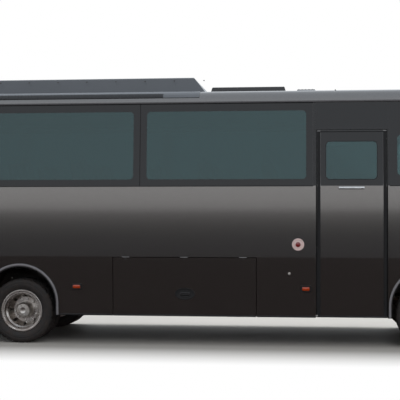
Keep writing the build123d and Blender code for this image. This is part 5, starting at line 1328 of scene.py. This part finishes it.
class AddRoofTrim(bpy.types.Operator):
    """Roof unit's louvres, fans, bolts and covers, hatch ribs and grip, vent louvres, aerial and seams"""

    bl_idname = "coach.add_roof_trim"
    bl_label = "Roof trim"

    def execute(self, context):
        bm = bmesh.new()
        for side in (RIGHT, LEFT):
            shoulder_cover(bm, side, COVER_PLACES, SLOT_ARC)
            for k in range(60):
                line = [(-2.52 + k * 0.0405, side * y, z) for y, z in shoulder(0.0075, SLOT_ARC, 4)]
                tube(bm, line, 0.0035, 6)
        for k in range(3):
            x = -1.95 + k * 0.72
            centre = (x, 0.0, UNIT_TOP - 0.004)
            disc(bm, centre, UP, 0.26, 0.0048, 48, 0, 0.0, 0.93)
            disc(bm, centre, UP, 0.07, 0.0048, 32, 0, 0.001)
            for ring_r in FAN_RINGS:
                disc(bm, centre, UP, ring_r, 0.0046, 40, 0, 0.0, 0.96)
            for a in (math.radians(30 * t) for t in range(12)):
                spoke = [(x + r * math.cos(a), r * math.sin(a), UNIT_TOP - 0.0022) for r in (0.06, 0.25)]
                tube(bm, spoke, 0.003, 6)
        for x in (-2.33, -1.59, -0.87, -0.20):
            rounded_box(bm, (x - 0.003, -0.66, UNIT_TOP - 0.003), (x + 0.003, 0.66, UNIT_TOP + 0.0008), 0.001, 1)
        piece("ac_grilles", bm, "coach", "black")
        bm = bmesh.new()
        for k in range(9):
            for side in (RIGHT, LEFT):
                hex_bolt(bm, (-2.5 + 0.36 * k, side * 0.752, 3.148), (0, side * 0.55, 0.83), 0.012, 0.008)
        piece("ac_bolts", bm, "coach", "frame")
        bm = bmesh.new()
        for side in (RIGHT, LEFT):
            shoulder_cover(bm, side, COVER_PLACES, SKIRT_ARC, True)
            shoulder_cover(bm, side, COVER_END, (SLOT_ARC[0], SKIRT_ARC[1]), True)
        piece("ac_skirts", bm, "coach", "roof_unit")
        bm = bmesh.new()
        for x0, x1 in ((0.52, 0.80), (0.86, 1.24)):
            rounded_box(bm, (x0, -0.42, HATCH_TOP - 0.004), (x1, 0.42, HATCH_TOP + 0.003), 0.010, 3)
        grip = ((-0.09, -0.004), (-0.09, 0.014), (-0.07, 0.020), (0.07, 0.020), (0.09, 0.014), (0.09, -0.004))
        tube(bm, [(0.468, y, HATCH_TOP + rise) for y, rise in grip], 0.007, 10)
        piece("roof_hatch_ribs", bm, "roof_hatch", "lid")
        bm = bmesh.new()
        for k in range(5):
            rounded_box(bm, (1.50 + k * 0.042, -0.19, 3.088), (1.518 + k * 0.042, 0.19, 3.0945), 0.003, 2)
        tube(bm, [(3.10, 0.30, 3.02), (3.10, 0.30, 3.055), (2.985, 0.30, 3.185)], [0.018, 0.012, 0.0022], 12)
        disc(bm, (3.10, 0.30, 3.030), UP, 0.030, 0.008, 24)
        piece("roof_vent_louvres", bm, "coach", "black")
        bm = bmesh.new()
        for x in (-3.55, -2.95, 1.95, 2.75, 3.35):
            rings = []
            for k in range(25):
                y = -0.98 + k * 1.96 / 24
                z = ROOF_Z - 0.048 * (y / 1.02) ** 2
                rings.append([(x + dx, y, z + dz) for dx, dz in SEAM])
            loft(bm, rings)
        piece("roof_seams", bm, "coach", "rubber")
        return {"FINISHED"}


PLATE_X, PLATE_Z, PLATE_SCREW_Y = 4.1995, 0.585, 0.145


class AddEnds(bpy.types.Operator):
    """Blank number plates, and the boot lid's handle and lock"""

    bl_idname = "coach.add_ends"
    bl_label = "Nose and tail trim"

    def execute(self, context):
        sizes = context.scene.coach_sizes
        half_w, half_h = sizes.plate_w / 2, sizes.plate_h / 2
        bm = bmesh.new()
        for sign in (1, -1):
            x = sign * PLATE_X
            low, high = sorted((x - sign * 0.012, x - sign * 0.0085))
            rounded_box(bm, (low, -half_w, PLATE_Z - half_h), (high, half_w, PLATE_Z + half_h), 0.0015, 2)
            for y in (-PLATE_SCREW_Y, PLATE_SCREW_Y):
                disc(bm, (x - sign * 0.0088, y, PLATE_Z), (sign, 0, 0), 0.008, 0.0025, 16, 1)
        piece("blank_plates", bm, "coach", ("plate", "hub"))
        bm = bmesh.new()
        rounded_box(bm, (-4.150, -0.17, 1.045), (-4.128, 0.17, 1.085), 0.010, 4)
        rounded_box(bm, (-4.162, -0.15, 1.052), (-4.146, 0.15, 1.068), 0.006, 3)
        disc(bm, (-4.148, 0.0, 0.985), (-1, 0, 0), 0.016, 0.006, 24)
        piece("boot_handle", bm, "boot_lid", "black")
        return {"FINISHED"}


# Cushions: cell of their even mesh, the most that they swell by, and the frames of the swelling
CUSHION_CELL, MOST_SWELL, SWELL_FRAMES = 0.016, 0.012, 14
CHANNEL, CHANNEL_DEPTH, CHANNELS_UP = 0.0075, 0.010, (-0.105, 0.105)


def cushion_mesh(name, low, high, radius, pressure):
    """A padded cushion: a rounded block swelled by pressure as cloth, held to the most swell."""
    bm = bmesh.new()
    rounded_box(bm, low, high, radius, 4)
    held = bpy.data.objects.new(name, to_mesh(name, bm))
    scene = bpy.context.scene
    scene.collection.objects.link(held)
    remesh = held.modifiers.new("remesh", "REMESH")
    remesh.mode, remesh.voxel_size = "VOXEL", CUSHION_CELL
    graph = bpy.context.evaluated_depsgraph_get()
    even = bpy.data.meshes.new_from_object(held.evaluated_get(graph))
    held.modifiers.clear()
    held.data = even
    start = [v.co.copy() for v in even.vertices]
    cloth = held.modifiers.new("cloth", "CLOTH")
    cloth.settings.use_pressure = True
    cloth.settings.uniform_pressure_force = pressure
    cloth.settings.effector_weights.gravity = 0.0
    cloth.settings.quality = 4
    cloth.point_cache.frame_start, cloth.point_cache.frame_end = 1, SWELL_FRAMES
    for number in range(1, SWELL_FRAMES + 1):
        scene.frame_set(number)
    graph = bpy.context.evaluated_depsgraph_get()
    swelled = held.evaluated_get(graph)
    ends = [v.co.copy() for v in swelled.data.vertices]
    held.modifiers.clear()
    for vertex, before, after in zip(held.data.vertices, start, ends):
        move = after - before
        vertex.co = before + (move.normalized() * min(move.length, MOST_SWELL) if move.length > 0 else move)
    scene.frame_set(1)
    made = held.data
    bpy.data.objects.remove(held)
    return made


def sewn(co, across, along, depth):
    """How far a point of a cushion sinks into the sewn channels that run over it both ways."""
    sink = 0.0
    for line in across:
        sink = max(sink, math.exp(-((co[0] - line) / CHANNEL) ** 2))
    for line in along:
        sink = max(sink, math.exp(-((co[1] - line) / CHANNEL) ** 2))
    return sink * depth


def seat_forms():
    """The swelled meshes of one seat's cushion and back at the origin, with channels and raised edges."""
    base = cushion_mesh("seat_cushion_form", (0.012, -0.180, -0.058), (0.448, 0.180, 0.040), 0.030, 2.2)
    for vertex in base.vertices:
        co = vertex.co
        top = max(co.z, 0) / 0.05
        if co.z > 0.02:
            co.z -= sewn((co.y, co.x), CHANNELS_UP, (0.14, 0.29), CHANNEL_DEPTH) * min(top, 1)
            co.z += 0.010 * (abs(co.y) / 0.18) ** 3
    back = cushion_mesh("seat_back_form", (-0.046, -0.180, 0.030), (0.040, 0.180, 0.640), 0.030, 2.2)
    for vertex in back.vertices:
        co = vertex.co
        if co.x > 0.015:
            co.x -= sewn((co.y, co.z), CHANNELS_UP, (0.20, 0.36, 0.50), CHANNEL_DEPTH)
            co.x += 0.012 * (abs(co.y) / 0.18) ** 3 + 0.010 * math.exp(-((co.z - 0.18) / 0.09) ** 2)
    return base, back


# Seats: foot of the back's line (X, Y) and the floor's height, the cushion's height over it, and the back's
# lean
SEAT_ROWS = (
    [(-2.590 + 0.760 * k, -0.680 + dy, 1.090) for k in range(6) for dy in (-0.200, 0.200)]
    + [(-2.590 + 0.760 * k, 0.680 + dy, 1.090) for k in range(7) for dy in (-0.200, 0.200)]
)
BENCH_SEATS = [(-3.540, -0.824 + 0.412 * k, 1.430) for k in range(5)]
DRIVER_SEAT = [(2.780, 0.680, 1.090)]
SEAT_RISE = 0.450
LEAN = math.atan2(0.150, 0.660)
ARM_REST = ((0.02, 1.700), (0.06, 1.725), (0.33, 1.728), (0.36, 1.712))
AISLE_GRIP = (
    (-0.10, 0, 2.175), (-0.105, 0, 2.215), (-0.105, 0.10, 2.235), (-0.105, 0.28, 2.235), (-0.105, 0.38, 2.215),
)


class AddSeats(bpy.types.Operator):
    """Padded seats with sewn channels, piping and headrests, and their shells, legs, arm rests and grips"""

    bl_idname = "coach.add_seats"
    bl_label = "Seats"

    def execute(self, context):
        base, back = seat_forms()
        lean = Matrix.Rotation(-LEAN, 3, "Y")
        shells, frames = bmesh.new(), bmesh.new()
        groups = (
            ("seats_right", [s for s in SEAT_ROWS if s[1] < 0]),
            ("seats_left", [s for s in SEAT_ROWS if s[1] > 0]),
            ("seats_rear", BENCH_SEATS),
            ("seat_driver", DRIVER_SEAT),
        )
        for name, spots in groups:
            bm = bmesh.new()
            for x, y, floor_z in spots:
                seat_z = floor_z + SEAT_RISE
                foot = Vector((x + 0.062, y, seat_z - 0.010))
                for form, origin, turn in (
                    (base, Vector((x + 0.018, y, seat_z - 0.050)), Matrix.Identity(3)), (back, foot, lean),
                ):
                    verts = [bm.verts.new(origin + turn @ v.co) for v in form.vertices]
                    for polygon in form.polygons:
                        bm.faces.new([verts[i] for i in polygon.vertices])
                self.add_edges(bm, x, y, seat_z, foot, lean, context.scene.coach_sizes.piping / 2)
                low, high = (x + 0.002, y - 0.186, seat_z + 0.02), (x + 0.018, y + 0.186, seat_z + 0.63)
                rounded_box(shells, Vector(low), Vector(high), 0.012, 3, 0, lean, (x + 0.055, y, seat_z))
                low, high = (x + 0.025, y - 0.186, seat_z - 0.118), (x + 0.462, y + 0.186, seat_z - 0.102)
                rounded_box(shells, low, high, 0.008, 2)
            made = piece(name, bm, "coach", "fabric", 180)
        for x, y, floor_z in SEAT_ROWS + DRIVER_SEAT:
            for leg in (0.10, 0.36):
                line = [(x + leg, y, floor_z + SEAT_RISE - 0.112), (x + leg, y, floor_z + 0.012)]
                tube(frames, line, 0.016, 10)
            low, high = (x + 0.07, y - 0.035, floor_z + 0.001), (x + 0.40, y + 0.035, floor_z + 0.014)
            rounded_box(frames, low, high, 0.004, 2)
        for x, y, _ in SEAT_ROWS:
            side = LEFT if y > 0 else RIGHT
            if abs(y) < 0.6:
                arm_y = y - side * 0.196
                tube(frames, [(x + dx, arm_y, z) for dx, z in ARM_REST], 0.014, 10)
                tube(frames, [(x + dx, arm_y + side * dy, z) for dx, dy, z in AISLE_GRIP], 0.010, 10)
        piece("seat_shells", shells, "coach", "interior")
        piece("seat_frames", frames, "coach", "satin_black")
        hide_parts("seats")
        return {"FINISHED"}

    def add_edges(self, bm, x, y, seat_z, foot, lean, radius):
        """A seat's headrest, and the piping along the edges of its back and cushion."""
        head = foot + lean @ Vector((0.030, 0, 0.575))
        low, high = head - Vector((0.030, 0.125, 0.065)), head + Vector((0.022, 0.125, 0.075))
        rounded_box(bm, low, high, 0.026, 4, 0, lean, head)
        for edge in (-0.178, 0.178):
            start = Vector((x + 0.062, y + edge, seat_z - 0.010))
            tube(bm, [start + lean @ Vector((0.040, 0, z)) for z in (0.06, 0.22, 0.40, 0.60)], radius, 6)
            line = [(x + 0.055 + d, y + edge, seat_z - 0.012) for d in (0.0, 0.14, 0.28, 0.40)]
            tube(bm, line, radius, 6)


# Cabin: ends of the luggage racks, (Y, Z) sections of a rack and of the wall lining, and the paths of the
# door's rails
RACK_ENDS = (-3.70, 1.60)
RACK = (
    (1.045, 2.770), (1.050, 2.700), (0.900, 2.640), (0.690, 2.635), (0.680, 2.660), (0.900, 2.665), (1.020, 2.760),
)
LINING = ((1.126, 1.14), (1.112, 1.16), (1.110, 1.83), (1.126, 1.86))
DOOR_RAILS = (
    (1.690, ((-0.44, 1.095), (-0.44, 2.05), (-0.52, 2.15), (-0.95, 2.15), (-1.02, 2.08), (-1.02, 1.20))),
    (2.590, ((-0.42, 1.095), (-0.42, 1.95), (-0.50, 2.05), (-0.95, 2.05), (-1.02, 1.98), (-1.02, 1.20))),
)
DIALS = ((0.60, 0.055), (0.76, 0.055), (0.68, 0.024))


class AddCabin(bpy.types.Operator):
    """Luggage racks and wall lining, grab rails, instruments and switches, and the panel over the windscreen"""

    bl_idname = "coach.add_cabin"
    bl_label = "Cabin fittings"

    def execute(self, context):
        bm = bmesh.new()
        low, high = RACK_ENDS
        places = [low + (high - low) * k / 20 for k in range(21)]
        for side in (RIGHT, LEFT):
            for outline in (RACK, LINING):
                loft(bm, [[(x, side * y, z) for y, z in outline] for x in places])
        piece("cabin_lining", bm, "coach", "lining")
        bm = bmesh.new()
        for side in (RIGHT, LEFT):
            tube(bm, [(-3.68, side * 0.675, 2.705), (1.58, side * 0.675, 2.705)], 0.010, 10)
            for k in range(9):
                x = -3.60 + k * 0.64
                tube(bm, [(x, side * 0.675, 2.705), (x, side * 0.676, 2.645)], 0.006, 8)
        for x, path in DOOR_RAILS:
            tube(bm, [(x, y, z) for y, z in path], 0.016, 12)
        piece("grab_rails", bm, "coach", "bright")
        bm = bmesh.new()
        rounded_box(bm, (3.700, 0.43, 1.500), (3.860, 0.93, 1.610), 0.030, 4)
        axis = Vector((-0.85, 0, 0.52))
        for y, radius in DIALS:
            centre = Vector((3.715, y, 1.575))
            disc(bm, centre, axis, radius, 0.010, 36, 1, 0.0, 0.9)
            disc(bm, centre, axis, radius * 0.9, 0.004, 32, 0, 0.001)
            root = centre + axis.normalized() * 0.0065
            tube(bm, [root, root + Vector((0.004, radius * 0.6, 0.01))], 0.0012, 6, False, 1)
        for k in range(8):
            rounded_box(bm, (3.690, 0.12 + k * 0.034, 1.470), (3.705, 0.142 + k * 0.034, 1.490), 0.003, 2, 1)
        piece("instrument_panel", bm, "coach", ("interior", "hub"))
        bm = bmesh.new()
        rounded_box(bm, (3.50, -0.95, 2.765), (3.62, 0.95, 2.815), 0.015, 3)
        piece("header_panel", bm, "coach", "lining")
        return {"FINISHED"}


# Mirrors: middle of the glass across and up, the rear of the housing, and the bezel's steps outwards and in
MIRROR_GLASS, MIRROR_BACK = (1.285, 2.060), 4.060 - 0.045 - 0.001
BEZEL = ((0.004, 1.06, 1.03), (-0.0015, 1.04, 1.02), (-0.0015, 1.0, 1.0), (0.002, 0.985, 0.99))


class AddMirrors(bpy.types.Operator):
    """Mirror glass and its bezels"""

    bl_idname = "coach.add_mirrors"
    bl_label = "Mirrors"

    def execute(self, context):
        bm = bmesh.new()
        x = MIRROR_BACK
        for side in (RIGHT, LEFT):
            y, z = side * MIRROR_GLASS[0], MIRROR_GLASS[1]
            loop = rounded_loop(y - 0.082, y + 0.082, z - 0.180, z + 0.180, 0.036, 6)
            rings = [
                [(x + dx, y + (py - y) * across, z + (pz - z) * up) for py, pz in loop] for dx, across, up in BEZEL
            ]
            loft(bm, rings, True, False, False, 1)
            rings = [
                [(x + 0.0012, y + (py - y) * share, z + (pz - z) * share) for py, pz in loop]
                for share in (0.99, 0.5, 0.02)
            ]
            loft(bm, rings, True, False, False, 0)
        piece("mirror_glass", bm, "coach", ("mirror", "black"), 30)
        return {"FINISHED"}


HOSE = ((0.05, 0.50, 0.46), (0.12, 0.49, 0.52), (0.10, 0.46, 0.60), (0.02, 0.435, 0.66))


class AddRunningGear(bpy.types.Operator):
    """Bolt heads of the frame, exhaust clamps and brake hoses"""

    bl_idname = "coach.add_running_gear"
    bl_label = "Running gear"

    def execute(self, context):
        bm = bmesh.new()
        for side in (RIGHT, LEFT):
            for k in range(26):
                x = -3.95 + k * 0.31
                hex_bolt(bm, (x, side * 0.4352, 0.735), (0, side, 0), 0.017, 0.010)
                hex_bolt(bm, (x + 0.10, side * 0.4352, 0.640), (0, side, 0), 0.017, 0.010)
        piece("frame_bolts", bm, "coach", "hub")
        bm = bmesh.new()
        for x in (-3.4, -2.5, -0.75, 0.25, 1.6, 2.6):
            disc(bm, (x, -0.250, 0.520), (1, 0, 0), 0.041, 0.030, 24, 0, 0.0, 0.85)
        piece("exhaust_clamps", bm, "coach", "hub")
        bm = bmesh.new()
        for side in (RIGHT, LEFT):
            tube(bm, [(REAR_AXLE + dx, side * y, z) for dx, y, z in HOSE], 0.009, 8)
        piece("brake_hoses", bm, "coach", "rubber")
        return {"FINISHED"}


class CoachPanel(bpy.types.Panel):
    """Sidebar list of the coach's pieces"""

    bl_idname = "VIEW3D_PT_coach"
    bl_label = "Midi coach"
    bl_space_type = "VIEW_3D"
    bl_region_type = "UI"
    bl_category = "Coach"

    def draw(self, context):
        layout = self.layout
        for group in (context.scene.coach_colours, context.scene.coach_sizes):
            for name in group.__annotations__:
                layout.prop(group, name)
        for operator in OPERATORS:
            layout.operator(operator.bl_idname)


OPERATORS = (
    DressShell, AddStage, AddTyres, AddWheelTrim, AddDoorTrim, AddSideTrim, AddLamps, AddRoofTrim, AddEnds,
    AddSeats, AddCabin, AddMirrors, AddRunningGear,
)
CLASSES = (CoachColours, CoachSizes, *OPERATORS, CoachPanel)


def register():
    """Registers the classes and their settings on the scene."""
    for one in CLASSES:
        bpy.utils.register_class(one)
    bpy.types.Scene.coach_colours = bpy.props.PointerProperty(type=CoachColours)
    bpy.types.Scene.coach_sizes = bpy.props.PointerProperty(type=CoachSizes)


def unregister():
    """Removes the settings and the classes."""
    del bpy.types.Scene.coach_sizes
    del bpy.types.Scene.coach_colours
    for one in reversed(CLASSES):
        bpy.utils.unregister_class(one)


def main():
    """Builds the finished coach."""
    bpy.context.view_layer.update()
    register()
    for operator in OPERATORS:
        group, name = operator.bl_idname.split(".")
        getattr(getattr(bpy.ops, group), name)()


if __name__ == "__main__":
    main()
